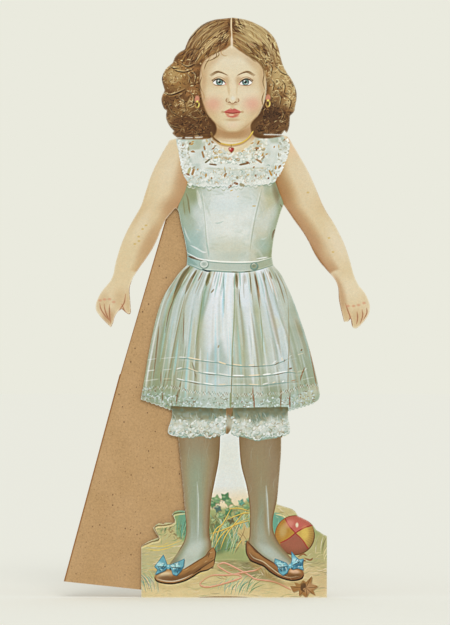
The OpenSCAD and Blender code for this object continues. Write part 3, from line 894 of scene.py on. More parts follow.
fall = down(WAIST + 4, HEM - 15)
DEPTH = 0.62  # how far a gather of depth 1 goes down the tones
light = np.full_like(skirt, 0.97)
for top_at, low_at, top_wide, low_wide, top_deep, low_deep in GATHERS:
    off = np.abs(skirt - top_at - (low_at - top_at) * fall) / (top_wide + (low_wide - top_wide) * fall)
    light -= DEPTH * (top_deep + (low_deep - top_deep) * fall) * np.exp(-(off**1.6))
# the hem is darker, the cloth a little cloudy, and both sides turn away from the light
light = (light - 0.3 * fall**2 + 0.12 * (cloud(9, 31) - 0.5) - 0.9 * np.clip(0.3 - skirt, 0, 1)
    - 0.6 * np.clip(skirt - 0.84, 0, 1))
inside = ((skirt > -0.02) & (skirt < 1.02)) * (ROWS > WAIST)[:, None] * down(HEM, HEM - 1.5)
warm = ramp(light, 0, "olive", 0.25, "moss", 0.42, "sage", 0.56, "putty", 0.74, "mist", 0.92, "pearl")
cool = ramp(light, 0, "drab", 0.25, "moss", 0.42, "lichen", 0.6, "haze", 0.8, "ice", 0.96, "pearl")
side = np.clip(np.abs(skirt - 0.5) * 0.9 + 0.7 * (cloud(16, 33) - 0.5) + 0.3 * fall + 0.15, 0, 1)[..., None]
lay(inside.astype(np.float32), warm * (1 - side) + cool * side)
each(wash, [
    ((206, 280, 214, 290, 208, 304, 203, 320, 198, 346, 194, 357, 198, 320, 202, 294), "sage", 0.9, 1),
    ((204, 288, 211, 291, 205, 306, 201, 322, 200, 312), "jade", 0.35, 1.6),
    ((198, 322, 205, 320, 206, 357, 203, 392, 192, 392, 193, 357), "straw", 0.4, 3),
    ((213, 276, 222, 274, 235, 276, 233, 320, 232, 372, 224, 342, 219, 334, 211, 350, 206, 340, 207, 310),
     "pearl", 0.95, 3),
    ((217, 280, 232, 280, 231, 340, 221, 334, 213, 330), "white", 0.5, 4),
    ((220, 340, 224, 352, 228, 362, 222, 376, 208, 376, 209, 357), "haze", 0.9, 2),
    ((220, 342, 223, 354, 221, 372, 210, 372, 213, 356), "aqua", 0.25, 2.5),
    ((235, 290, 239, 296, 246, 328, 250, 364, 252, 393, 233, 400, 233, 332), "sage", 0.4, 1.4),
    ((237, 300, 241, 310, 246, 345, 244, 364, 235, 362, 235, 330), "bracken", 0.2, 2),
    ((256, 296, 260, 311, 264, 357, 266, 384, 256, 384, 254, 357, 254, 332), "bracken", 0.3, 1.6),
    ((263, 274, 271, 276, 280, 297, 287, 321, 287, 369, 279, 381, 266, 381, 263, 333), "mist", 0.75, 2.4),
    ((179, 321, 185, 347, 183, 369, 177, 403, 163, 402, 171, 363), "sage", 0.55, 1.2),
    ((184, 300, 197, 280, 200, 296, 196, 330, 191, 357, 187, 340, 186, 320), "mist", 0.7, 2.4),
    ((289, 300, 298, 318, 307, 345, 312, 368, 317, 392, 290, 398, 289, 350), "sage", 0.45, 1.6),
    ((270, 320, 278, 317, 284, 322, 279, 328, 272, 327), "honey", 0.14, 2),
    ((294, 318, 300, 322, 303, 336, 297, 332), "bronze", 0.16, 2),
    ((163, 304, 173, 292, 168, 312, 160, 345, 155, 360, 156, 330), "aqua", 0.3, 2),
    ((236, 276, 246, 275, 251, 300, 254, 340, 255, 378, 251, 378, 247, 336, 242, 305), "pearl", 0.55, 1.6),
    ((186, 372, 230, 376, 229, 398, 182, 396), "ice", 0.35, 3),
    ((158, 334, 166, 340, 162, 370, 153, 384), "straw", 0.3, 3),
], inside)

# a thin grey-green over the shaded side and the hem
lay(inside * (0.22 * np.clip((0.42 - skirt) / 0.3, 0, 1) + 0.13 * fall), "moss")


def fold(share, top, bottom, width, ink, strength=0.85, soft=1.2):
    """A fine stroke that keeps its share across the skirt from one height to another."""
    y = np.linspace(top, bottom, 8)
    edges = [np.interp(y, *side[:, ::-1].T) for side in (SKIRT_LEFT, SKIRT_RIGHT)]
    brush(np.column_stack([edges[0] * (1 - share) + edges[1] * share, y]), width, ink, strength, soft, 0.35)


for k in range(84):  # soft pleats, each a shaded valley with a lit edge on its left
    share, top = random.uniform(0.03, 0.98), random.uniform(266, 365)
    bottom, weak = min(top + random.uniform(25, 100), 402), 0.25 if 0.33 < share < 0.54 else 1
    fold(share, top, bottom, random.uniform(1.2, 4.5), in_turn(k, "sage lichen khaki haze straw"),
        weak * random.uniform(0.15, 0.5), 1.6)
    fold(share - random.uniform(0.008, 0.02), top, bottom, random.uniform(0.8, 2.6),
        in_turn(k, "pearl ice pearl mist sky"), random.uniform(0.2, 0.55), 1.3)
for k in range(80):  # the gathers crowded under the waistband
    share, top = random.uniform(0.02, 0.98), random.uniform(267, 277)
    fold(share, top, top + random.uniform(6, 32), random.uniform(0.6, 1.7),
        in_turn(k, "drab jade tan pearl khaki haze teal white"), random.uniform(0.2, 0.55), 0.9)
# laundry blue shows where the cloth is bright
picture *= 1 + (inside * np.clip(light * 2 - 0.9, 0, 1))[..., None] * np.array((0, 0.012, 0.07), np.float32)
print("the skirt has", len(GATHERS), "gathers")

# %% The skirt's folds
# Each fold's edge as a stroke: its line, its width and its ink.
each(brush, [
    ((190, 266, 182, 278, 173, 300), 4.6, "drab"), ((190, 266, 182, 277, 174, 294), 2.4, "loam"),
    ((174, 298, 169, 312, 165, 333), 1.1, "walnut"), ((196, 270, 190, 282, 185, 294), 2.8, "drab"),
    ((197, 270, 192, 279), 1.6, "loam"), ((186, 293, 179, 321, 171, 363, 163, 401), 1.2, "khaki"),
    ((184, 296, 178, 321, 169, 363), 0.8, "mist"), ((203, 271, 198, 281), 1.2, "sienna"),
    ((210, 272, 208, 279, 206, 286), 3.6, "olive"), ((210, 273, 206, 284), 1.6, "loam"),
    ((203, 291, 200, 316, 194, 357), 1.2, "moss"), ((214, 289, 211, 293), 1.5, "drab"),
    ((223, 274, 224, 292, 224, 313), 0.9, "teal"), ((236, 273, 237, 288), 2.9, "drab"),
    ((236, 273, 237, 283), 1.3, "loam"), ((235, 286, 234, 320, 232, 357, 231, 404), 1.1, "moss"),
    ((233, 357, 232, 376, 231, 402), 1, "drab"), ((239, 289, 240, 308), 1.2, "drab"),
    ((250, 273, 251, 294), 1.1, "loam"), ((254, 273, 257, 288, 260, 309), 1.7, "cocoa"),
    ((255, 274, 258, 290), 1, "bark"), ((260, 309, 262, 330, 263, 357), 1, "moss"),
    ((249, 300, 252, 330, 253, 360, 254, 384), 1.6, "pearl"), ((262, 273, 266, 284, 269, 306), 1, "aqua"),
    ((263, 272, 265, 281), 1.4, "olive"), ((269, 271, 272, 279), 1.5, "cocoa"),
    ((275, 273, 280, 286, 285, 303), 1.2, "cocoa"), ((278, 274, 284, 286, 288, 299), 1, "khaki"),
    ((288, 298, 289, 340, 288, 381, 289, 408), 1.1, "khaki"),
    ((287, 284, 297, 313, 307, 345, 312, 368), 0.9, "aqua"),
    ((309, 347, 313, 366, 318, 394), 1.2, "sienna"), ((159, 326, 157, 345, 153, 381), 1.7, "cocoa"),
    ((184, 313, 183, 344), 0.9, "walnut"), ((186, 346, 183, 369, 178, 402), 1, "moss"),
    ((181, 380, 179, 391, 177, 404), 1.4, "cocoa"), ((192, 362, 194, 369, 196, 378), 1.3, "drab"),
    ((185, 265, 174, 280, 165, 297, 158, 322, 152, 340), 0.9, "ice"), ((218, 348, 219, 345), 1.4, "khaki"),
    ((302, 349, 301, 351), 1.4, "walnut"), ((289, 369, 292, 368), 1.5, "umber"),
    ((305, 367, 302, 374, 300, 381), 1.3, "sienna"), ((253, 385, 253, 397, 254, 411), 1.2, "sienna"),
    ((281, 388, 281, 398, 280, 408), 1.5, "cocoa"), ((290, 392, 290, 408), 1.5, "sienna"),
    ((291, 381, 296, 380), 1.1, "umber"), ((161, 372, 161, 384), 0.9, "sienna"),
    ((166, 372, 163, 388, 160, 402), 1.2, "olive"),
], 0.62, 0.8)

# %% Tucks, insertion and hem
TUCKS = [
    pairs(146, 360, 160, 358.6, 178, 357, 187, 357.4, 203, 360, 218, 361.6, 232, 364.2, 248, 365.4, 262,
     364.8, 272, 364, 282, 360.6, 288, 357.6, 297, 355, 306, 353),
    pairs(147, 371, 162, 370, 176, 369, 187, 367.6, 203, 372.2, 218, 373.6, 232, 375.4, 248, 375.6, 262,
     374.8, 272, 373.8, 288, 371, 297, 372, 304, 370.4, 312, 368),
    pairs(144, 381, 162, 379, 176, 378.4, 187, 380.4, 203, 383, 218, 384.6, 232, 384.2, 248, 384.2, 262,
     384.6, 272, 383, 282, 381.8, 290, 381, 301, 380, 315, 377),
]
for tuck in TUCKS:
    brush(tuck[2:-2] + (0, 1.3), 0.9, "teal", 0.75, 0.5, 0.08)
    brush(tuck[2:-1] + (0, 3), 1.2, "haze", 0.35, 0.8, 0.05)
    for (x0, y0), (x1, y1) in zip(tuck, tuck[1:]):
        faint = 0.45 if x1 < 180 or x0 > 287 else 1
        stop = x1 - random.uniform(0, 9)
        brush([(x0 + 0.6, y0), ((x0 + stop) / 2, (y0 + y1) / 2), (stop, y1)], random.uniform(0.8, 1.4),
            in_turn(random.integers(3), "white pearl cream"), random.uniform(0.5, 1) * faint, 0.5, 0.2)
        if random.random() < 0.3:
            brush([(x0 + 2, y0 + 1.5), (x1 - 3, y1 + 1.5)], 0.7, "sienna", 0.6 * faint, 0.5)
insertion = (
    143, 389, 165, 387, 187, 391, 210, 393.6, 232, 394.6, 255, 394.4, 275, 393, 290, 390, 303, 386, 318,
    385,
)
line = evenly(insertion, 100)
for (x, y), (x1, y1) in zip(line, line[1:]):
    y = y + random.uniform(-1.2, 1.2)
    brush([(x, y - 1.8), (x1, y + 1.6)], 0.8, in_turn(random.integers(4), "drab teal cocoa sage"),
        random.uniform(0.35, 0.9), 0.5)
    brush([(x, y + 2), (x1, y - 1.4)], 0.7, in_turn(random.integers(2), "mist pearl"),
        random.uniform(0.3, 0.7), 0.5)
hem_line = (
    141, 399.4, 150, 402, 161, 405.4, 172, 408.4, 186, 410, 200, 411, 215, 411.6, 224, 409.6, 236, 410, 248,
    412, 262, 411.4, 276, 409.6, 289, 409.4, 302, 405.6, 314, 402.4,
)
print("tucks and hem are painted")


# %% Lace
SCALLOP = 4.6  # pixels from one scallop to the next


def lace_band(line, up, count, seed, tones="pearl white mist white", flecks="sage khaki haze bronze",
        size=1.5, scallop=0.9):
    """Lace of some height above a line: pale dots and loops over flecks of shadow, with a
    row of small arcs for the scallops along the line itself."""
    random, tones, flecks = np.random.default_rng(seed), tones.split(), flecks.split()
    at = evenly(line, 200)
    for k in range(count):
        x, y = at[random.integers(200)]
        y -= up * random.uniform(0, 1)
        if k % 3:
            dab(x + random.normal(0, 0.8), y, size * random.uniform(0.5, 1.2),
                size * random.uniform(0.35, 0.8), random.choice(tones), random.uniform(0.5, 0.95), 0.6,
                random.uniform(0, 180))
        else:
            angle = random.uniform(0, 6.3) + np.linspace(0, random.uniform(2, 5), 7)
            brush(ellipse(x, y, size, size * 0.8, angle), random.uniform(0.5, 0.9), random.choice(flecks),
                random.uniform(0.35, 0.8), 0.5)
    ends = int(np.hypot(*np.diff(at, axis=0).T).sum() / SCALLOP) + 2
    scallops = evenly(line, ends) + random.normal(0, 0.5, (ends, 2))
    for (x0, y0), (x1, y1) in zip(scallops, scallops[1:]):
        middle = ((x0 + x1) / 2, (y0 + y1) / 2 + 1.3)
        brush([(x0, y0 + 0.9), (middle[0], middle[1] + 1.1), (x1, y1 + 0.9)], 1.1, flecks[0], 0.55)
        brush([(x0, y0), middle, (x1, y1)], random.uniform(0.8, 1.4), tones[3],
            scallop * random.uniform(0.5, 1), taper=0.15)


wash((143, 392, 165, 391, 187, 395, 210, 397.6, 232, 398.6, 255, 398.4, 275, 397, 290, 394, 303, 390, 318,
    389, 322, 398, 310, 403, 289, 410, 262, 412, 224, 410, 200, 411, 172, 408, 141, 399), "aqua", 0.4, 1.5,
    inside)
wash((296, 398, 316, 384, 319, 392, 312, 400, 298, 404), "cream", 0.4, 2.5, inside)
lace_band(hem_line, 13, 700, 21, tones="haze ice haze haze", flecks="teal lichen drab cocoa", size=1.2)
each(brush, [
    ((230.8, 392, 230.4, 409), 2.2, "moss"), ((177.6, 391, 176, 405), 1.2, "cocoa"),
    ((163, 392, 162, 402), 1.2, "cocoa"), ((281, 394, 280.6, 408), 1.3, "cocoa"),
    ((253.8, 394, 254.6, 411), 1.1, "sienna"), ((289.6, 396, 290, 409), 1.2, "sienna"),
], 0.75, 0.5)

# %% Bloomers
for line in [
    (171, 406, 227, 409, 226.2, 433.4, 204, 436, 182, 438, 167, 433),
    (232, 408, 288, 407, 290, 432, 276, 438, 257, 441, 231.4, 434),
]:
    legs = stencil(line, 0.4, sharp=True)
    lay(legs, ramp(cloud(4, 36) * 0.6 + cloud(2, 37) * 0.4, 0.2, "teal", 0.42, "lichen", 0.6, "sage", 0.7,
        "aqua", 0.9, "haze"))
    lay(legs * down(418, 410) * (0.45 + 0.55 * cloud(5, 38)), "pine")
    lay(legs * down(414, 408) * cloud(3, 39), "loam")
    lay(legs * np.minimum(down(428, 420), 0.36), "drab")
wash((226.2, 408, 233, 408, 231.8, 428, 228, 434, 226, 434), "cocoa", 1, 0.5, sharp=True)
brush((232.6, 411, 231.6, 422, 229.8, 431), 1.8, "loam", 0.9)
brush((226.6, 411, 226.2, 422, 226.8, 433), 0.9, "tan", 0.8)
flicks(90, (170, 412, 289, 424), "pine teal haze aqua mist", 61, (3, 8), -75, 18, (0.6, 1.4), (0.3, 0.7))
left_lace = (
    168, 430.4, 172, 434.4, 178, 436, 184, 434, 190, 436.6, 196, 435, 201, 433, 207, 436, 213, 435.4, 219,
    433.4, 225, 430.6,
)
right_lace = (
    232.4, 431, 237, 434.6, 243, 434, 250, 436, 257, 439, 263, 436.6, 269, 435, 275, 435.6, 281, 433.6, 286,
    433, 289.4, 429,
)
for seed, line in ((31, left_lace), (33, right_lace)):
    line = np.array(line)
    for k, (x, y) in enumerate(evenly(line, 15)):  # billows of the frill
        dab(x, y - 7 - (k * 5) % 4, 5, 6.4, in_turn(k, "putty mist haze"), 0.65, 1.1, 10 * (k % 5) - 20)
    lace_band(line, 15, 360, seed, tones="mist putty haze pearl", flecks="teal lichen sage cocoa", size=1.9)
each(dab, [
    (271, 421, 4, 5), (200, 424, 6, 3), (178, 428, 5, 3), (243, 427, 3, 5), (262, 429, 6, 4),
    (280, 428, 4, 5), (213, 428, 4, 4),
], "pearl", 0.5, 1.2)
print("lace and bloomers are painted")

# %% [markdown]
# ## The bodice and its yoke
# The bodice is smooth satin: a pale panel between two seams, with grey-green turning away at
# the sides. The yoke above is lace, drawn as pale dots and loops with flecks of ochre, round
# a square neck that shows the skin.

# %% Bodice
# a share across the bodice, its light, a share, its light and so on
PANEL = (
    0, 0.1, 0.06, 0.34, 0.13, 0.44, 0.19, 0.6, 0.27, 0.84, 0.5, 0.95, 0.7, 0.87, 0.77, 0.72, 0.83, 0.56,
    0.94, 0.4, 1, 0.1,
)
# the panel's light across the bodice, less towards the waist and the shoulders
light = (np.interp(bodice, *pairs(PANEL).T) - 0.16 * down(232, 258) - 0.08 * (1 - down(186, 200))
    + 0.08 * (cloud(11, 51) - 0.5))
left_side = ramp(light, 0, "moss", 0.4, "sage", 0.55, "haze", 0.8, "mist", 0.95, "pearl")
cold_side = ramp(light, 0, "teal", 0.3, "aqua", 0.42, "aqua", 0.55, "haze", 0.8, "mist", 0.95, "pearl")
right_side = ramp(light + 0.2 * (cloud(6, 52) - 0.5), 0, "moss", 0.35, "sage", 0.5, "putty", 0.62, "putty",
    0.8, "mist", 0.95, "pearl")
lower = np.clip(down(196, 246) - 0.6 * np.clip(bodice - 0.3, 0, 1), 0, 1)[..., None]
share = np.clip(bodice * 1.6 - 0.35, 0, 1)[..., None]
inside = within_edges(bodice, 80) * ((ROWS > 181) & (ROWS < 263))[:, None]
lay(inside, (left_side * (1 - lower) + cold_side * lower) * (1 - share) + right_side * share)
for k in range(150):
    x, y = random.uniform(186, 272), random.uniform(188, 250)
    turn = random.choice([0.1, 0.3, -0.2]) if 206 < x < 252 else random.choice([2, -1.6, 1.2])
    length = random.uniform(6, 18)
    brush([(x, y), (x + length * 0.5, y + length * turn * 0.4), (x + length * 0.8, y + length * turn)],
        random.uniform(0.8, 2.4), in_turn(k, "pearl haze haze pearl sage"), random.uniform(0.08, 0.26), 1.2,
        within=inside)
each(brush, [
    ((201, 190, 203, 202, 205, 220, 206, 236, 208, 251), 1.1, "sage", 0.5),
    ((202, 191, 204, 204, 206, 222, 208, 240, 209, 252), 1, "pearl", 0.6),
    ((262, 188, 259, 202, 256, 214, 253, 230, 251, 243, 250, 252), 1.1, "lichen", 0.55),
    ((261, 189, 257, 203, 254, 216, 251, 231, 249, 244), 1, "pearl", 0.6),
    ((186, 193, 188, 200, 189, 208, 190, 214), 1.7, "drab", 0.9),
    ((183, 199, 184, 207, 185, 215), 1.4, "olive", 0.7), ((196, 229, 201, 231), 1.3, "putty", 0.9),
    ((190, 245, 196, 248, 203, 252, 207, 252), 1.6, "pearl", 0.95),
    ((184, 227, 187, 236, 191, 243), 1.5, "mist", 0.8), ((261, 239, 264, 239, 267, 237), 1.3, "pearl", 0.9),
    ((256, 259, 262, 258, 268, 257), 1.4, "pearl", 0.95),
    ((215, 223, 219, 223, 224, 221), 1.4, "aqua", 0.9), ((252, 206, 256, 206), 1.3, "gold", 0.9),
    ((230, 191, 233, 190), 1.1, "gold", 0.8), ((237, 197, 239, 196), 1.1, "flax", 0.7),
    ((275, 229, 273, 234, 272, 240), 1.9, "umber", 0.9), ((280, 204, 282, 207, 286, 212), 1, "umber", 0.6),
    ((181, 222, 184, 233, 187, 246, 188, 254), 1.3, "teal", 0.7), ((240, 256, 246, 252), 3.4, "haze", 0.6),
    ((206, 241, 208, 250, 209, 257), 1.6, "aqua", 0.7), ((197, 190, 199, 199, 201, 209), 3.6, "pearl", 0.7),
])
dab(192, 194, 5, 9, "moss", 0.75, 1.3, -12)
dab(186, 206, 4, 10, "moss", 0.6, 1.3, -8)
dab(276, 194, 3, 9, "drab", 0.7, 1.3, -12)
dab(270, 200, 5, 9, "straw", 0.55, 1.4)
each(dab, [
    (266, 222, 8, 9, "mist", 0.55), (263, 245, 8, 7, "aqua", 0.6), (270, 238, 5, 7, "sage", 0.6),
    (190, 222, 6, 8, "sage", 0.5), (192, 240, 6, 7, "aqua", 0.5), (274, 212, 4, 6, "mist", 0.5),
], 1.5, 0, inside)
dab(198, 214, 5, 5, "mist", 0.5, 1.3)
dab(200, 240, 4, 12, "aqua", 0.45, 1.4)
dab(230, 220, 20, 20, "pearl", 0.6, 1.6)
dab(230, 206, 22, 7, "ice", 0.5, 1.5)
dab(231, 248, 18, 9, "putty", 0.55, 1.5)
dab(234, 256, 16, 4, "haze", 0.5, 1.5)

# %% Waistband
TOP_EDGE = pairs(186, 252, 193, 256, 200, 259, 214, 261, 230, 262, 246, 262, 258, 261, 273, 257)
LOW_EDGE = pairs(186, 264, 194, 267, 202, 270, 214, 271, 230, 272, 244, 272, 258, 270, 274, 265)
band = np.vstack([evenly(TOP_EDGE, 40), evenly(LOW_EDGE, 40)[::-1]])
whole = filled(band, EVERYWHERE)
lay(whole, ramp(bodice, 0, "teal", 0.1, "aqua", 0.3, "haze", 0.5, "haze", 0.68, "haze", 0.85, "sage", 1,
    "sage"))
each(brush, [
    (LOW_EDGE, 1.2, "teal", 0.8), (LOW_EDGE - (0, 1.2), 0.8, "mist", 0.6),
    ((188, 256, 194, 258, 205, 261), 2.2, "umber", 0.95), (TOP_EDGE, 1.4, "white", 0.9),
    (TOP_EDGE + (0, 1.4), 0.9, "teal", 0.6), ((188, 257, 192, 262, 197, 265), 3, "teal", 0.5),
    ((202, 269, 207, 271, 212, 271), 1.6, "slate", 0.85),
    ((210, 265, 222, 267, 236, 267), 3.2, "haze", 0.5), ((262, 262, 270, 261), 2.6, "sage", 0.6),
    ((231, 272, 238, 272), 1.2, "olive", 0.7), ((244, 272, 252, 271), 1, "loam", 0.7),
])
for x, y, size, face, edge in [(204, 264, 4, "haze", "mist"), (254, 266, 3.7, "lichen", "teal")]:
    dab(x + 0.3, y + 0.5, size + 0.5, size + 0.3, "pine", 0.55, 0.4)
    dab(x, y, size, size * 0.92, edge, 1, 0.2)
    dab(x, y, size * 0.76, size * 0.7, face, 1, 0.25)
    for k in range(4):
        a = np.pi / 4 + k * np.pi / 2
        dab(x + np.cos(a) * size * 0.3, y + np.sin(a) * size * 0.28, 0.55, 0.5, "pine", 0.6, 0.5)
    brush([(x - size * 0.6, y - size * 0.3), (x - size * 0.1, y - size * 0.62),
        (x + size * 0.4, y - size * 0.45)], 0.7, "pearl", 0.8)
print("bodice and waistband are painted")

# %% Neck and yoke
wash((205, 126, 258, 126, 258, 140, 266, 150, 264, 166, 202, 166, 200, 148, 208, 138), "skin", 1, 1.2)
dab(231, 134, 24, 5, "tan", 0.8, 1.4)
dab(214, 136, 7, 8, "tan", 0.6, 1.4)
dab(236, 148, 22, 9, "cream", 0.7, 1.5)
YOKE = (
    176, 138, 186, 139, 203, 139, 205, 163, 264, 165, 268, 137, 283, 136, 290, 146, 287, 158, 281, 170, 275,
    182, 262, 185, 240, 186, 222, 187, 203, 187, 189, 184, 184, 176, 181, 164, 179, 152, 177, 145,
)
yoke = stencil(YOKE, 0.4, sharp=True)
lay(yoke, ramp(cloud(7, 14), 0, "haze", 0.4, "mist", 0.75, "pearl", 1, "pearl"))
wash((187, 139, 203, 139, 202, 150, 188, 150), "moss", 0.65, 1)
wash((191, 150, 202, 149, 203, 164, 192, 164), "pearl", 0.95, 0.6, sharp=True)
wash((205, 139, 212, 141, 216, 157, 206, 163), "haze", 0.75, 1.5)
wash((267, 142, 274, 139, 277, 148, 271, 167, 262, 166), "pearl", 0.95, 0.8)
wash((269, 137, 281, 136, 283, 141, 272, 143), "sage", 0.8, 1)
wash((222, 158, 262, 156, 263, 164, 206, 164), "haze", 0.85, 1.4)
FRILL = (
    203, 138, 211, 134, 216, 141, 222, 149, 231, 154, 240, 153, 248, 147, 254, 139, 257, 134, 268, 137, 264,
    165, 205, 163,
)
frill = stencil(FRILL, 0.8)
lay(frill * 0.6, ramp(cloud(5, 15), 0, "fawn", 0.3, "haze", 0.6, "pearl", 1, "pearl"))
for k in range(240):
    dab(random.uniform(203, 268), random.uniform(134, 165), random.uniform(0.8, 2.4),
        random.uniform(0.6, 1.4), in_turn(k, "white pearl haze putty mist"), random.uniform(0.3, 0.8), 0.6,
        random.uniform(0, 180), frill)
YOKE_FLECKS = "teal tan haze amber"
lace_band((206, 163, 225, 163, 245, 163, 262, 163), 15, 230, 41, flecks=YOKE_FLECKS)
lace_band((188, 184, 203, 185, 222, 185, 240, 184, 258, 183, 275, 181), 16, 620, 43, flecks=YOKE_FLECKS)
for line, seed, spread in [
    ((180, 140, 181, 150, 183, 162, 186, 176), 45, 5), ((286, 139, 287, 148, 283, 162, 277, 176), 47, -5),
]:
    at = evenly(line, 60)
    rng = np.random.default_rng(seed)
    for k in range(170):
        x, y = at[rng.integers(60)] + (spread * rng.uniform(-0.4, 1.5), 0)
        dab(x, y, rng.uniform(0.7, 1.9), rng.uniform(0.5, 1.2), in_turn(k, "white pearl putty khaki white"),
            rng.uniform(0.4, 0.9), 0.6, rng.uniform(0, 180))
    for (x0, y0), (x1, y1) in zip(at[::6], at[6::6]):
        bulge = -np.sign(spread) * 2
        brush([(x0 - bulge * 0.2, y0), ((x0 + x1) / 2 + bulge, (y0 + y1) / 2), (x1 - bulge * 0.2, y1)], 1.4,
            "white", 0.9)
lay(yoke * 0.35, ramp(cloud(7, 14), 0, "haze", 0.5, "mist", 1, "pearl"))  # starch flattens the lace
brush((204, 164, 215, 166, 232, 166, 250, 166, 264, 165), 3.2, "pearl", 0.95, taper=0.05)
brush((204, 168, 232, 170, 264, 168), 1, "putty", 0.7, taper=0.05)
each(brush, [
    ((204, 146, 205, 150), 1.8, "bronze"), ((202, 151, 204, 158), 2, "bronze"),
    ((205, 163, 210, 159), 1.8, "loam"), ((209, 164, 217, 165), 1.7, "walnut"),
    ((239, 165, 249, 163), 1.9, "walnut"), ((256, 159, 262, 163), 1.8, "bronze"),
    ((214, 158, 218, 157), 2.2, "wheat"), ((219, 153, 222, 152), 1.8, "sand"),
    ((234, 183, 238, 184), 2.4, "sienna"), ((240, 184, 244, 186), 3, "khaki"),
    ((228, 188, 233, 184), 2.2, "sienna"), ((190, 168, 188, 174), 2.6, "reed"),
    ((194, 169, 192, 175), 2.4, "bronze"), ((269, 170, 272, 176), 1.8, "amber"),
], 0.85, 0.6, 0.2)
for box, count in (
    ((182, 142, 192, 176), 9), ((273, 140, 287, 178), 12), ((206, 142, 262, 164), 9),
    ((192, 168, 272, 180), 12), ((206, 136, 216, 150), 6), ((254, 136, 268, 160), 7),
):
    flicks(count, box, "bronze amber khaki sienna wheat", count, (2, 5), 60, 40, (1.2, 2.2), (0.6, 0.9),
        np.maximum(yoke, frill))
for x in np.arange(190, 274, 4.7):
    x, wide = x + random.normal(0, 0.8), random.uniform(1.6, 3)
    y = 184.8 + 1.6 * np.sin(x * 0.4) - 3.4 * np.clip((x - 240) / 34, 0, 1) + random.normal(0, 0.5)
    brush([(x - wide, y + 2.6), (x, y + 4.2), (x + wide, y + 2.4)], 1.2, in_turn(x > 225, "moss sage"), 0.4)
    brush([(x - wide, y + 0.6), (x, y + 2), (x + wide, y + 0.6)], random.uniform(0.9, 1.5), "pearl",
        random.uniform(0.5, 0.95))
print("the yoke is painted")

# %% [markdown]
# ## The face
# The face is a plain doll's face on a drawing book's proportions. The eyes lie an eye's width
# apart, the nose ends half way from brow to chin, and the mouth lies a third of the way from
# there to the chin. It is built like a miniature: a warm ground, soft shades laid over it,
# then the fine lines of lids, nose and mouth.

# %% Skin
MID, CHIN, BROW, EYES = 232.5, 131.5, 73.5, 82.5  # columns and rows of the plan
EYE = 12.4  # an eye's width
NOSE = (BROW + CHIN) / 2
MOUTH = NOSE + (CHIN - NOSE) / 3
JAW = [
    (199, 56), (198.6, 80), (200.6, 98), (206, 113), (215.5, 125), (225.5, 131), (MID, CHIN + 0.5),
    (239.5, 131), (249.5, 125), (259, 113), (264.4, 98), (266.4, 80), (266, 56), (250, 40), (MID, 36),
    (214, 40),
]
neck = (
    213, 118, 252, 118, 252, 130, 253, 136, 247, 145, 240, 150.5, 231, 152, 222, 147, 216, 140, 211, 133,
)
wash(neck, "skin", 1, 1.2)
dab(MID, 131, 21, 8, "tan", 0.85, 1)
dab(MID, 134, 16, 5, "bronze", 0.35, 1.2)
dab(214, 132, 5, 9, "bronze", 0.5, 1.3)
dab(252, 131, 5, 8, "tan", 0.6, 1.3)
dab(MID, 145, 11, 5, "cream", 0.8, 1.3)
for y, lift in ((137.5, 1.2), (141.5, 1.6)):
    brush([(219, y - lift), (MID, y), (247, y - lift)], 1, "tan", 0.35, 1)
wash(JAW, "skin", 1, 0.8)
face = stencil(JAW, 1.2)
for x, y, wide, high, ink, strength, turn in [
    (MID, 62, 26, 17, "cream", 0.9, 0), (MID + 4, 60, 18, 11, "pearl", 0.2, 0),
    (MID, 90, 15, 22, "cream", 0.7, 0), (202, 86, 5, 30, "fawn", 0.75, 4),
    (263.4, 86, 4, 30, "fawn", 0.6, -4), (208, 113, 6, 12, "fawn", 0.75, -35),
    (257, 113, 6, 12, "fawn", 0.6, 35), (203, 100, 3, 14, "tan", 0.45, -14),
    (MID, 128, 20, 3, "fawn", 0.7, 0), (218, 126, 8, 3, "tan", 0.35, 30),
    (247, 126, 8, 3, "tan", 0.25, -30), (213.5, 104, 8, 7.6, "blush", 0.42, 0),
    (252, 104, 8, 7.6, "blush", 0.42, 0), (213, 104, 4.6, 4.4, "blush", 0.25, 0),
    (252.6, 104, 4.6, 4.4, "blush", 0.25, 0), (214, 93, 9, 4.4, "cream", 0.4, 10),
    (251, 93, 9, 4.4, "cream", 0.4, -10), (MID, 124.5, 8, 4.6, "cream", 0.85, 0),
    (MID, 125, 5, 3, "blush", 0.14, 0), (MID, 52, 20, 5, "fawn", 0.4, 0), (213, 60, 10, 4, "tan", 0.4, -35),
    (252, 61, 10, 4, "tan", 0.4, 35), (203, 76, 3, 14, "tan", 0.45, 0), (263, 76, 3, 14, "tan", 0.4, 0),
    (206, 66, 6, 12, "fawn", 0.5, 20), (259, 66, 6, 12, "fawn", 0.45, -20),
]:
    dab(x, y, wide, high, ink, strength, 1.7, turn, face)
brush([(200.6, 92), (203, 103), (208.6, 115), (216.6, 124.6), (225.6, 130.6), (MID, 131.6), (239.6, 130.6),
    (248.6, 124.6), (257, 115), (262.4, 103), (264.6, 92)], 1.6, "bronze", 0.3, 1.4)

# %% Eyes, brows, nose and mouth
def beside(row, *numbers, side=1):
    """Points given from the face's middle at a row: out to a side, and down."""
    return pairs(*numbers) * (side, 1) + (MID, row)


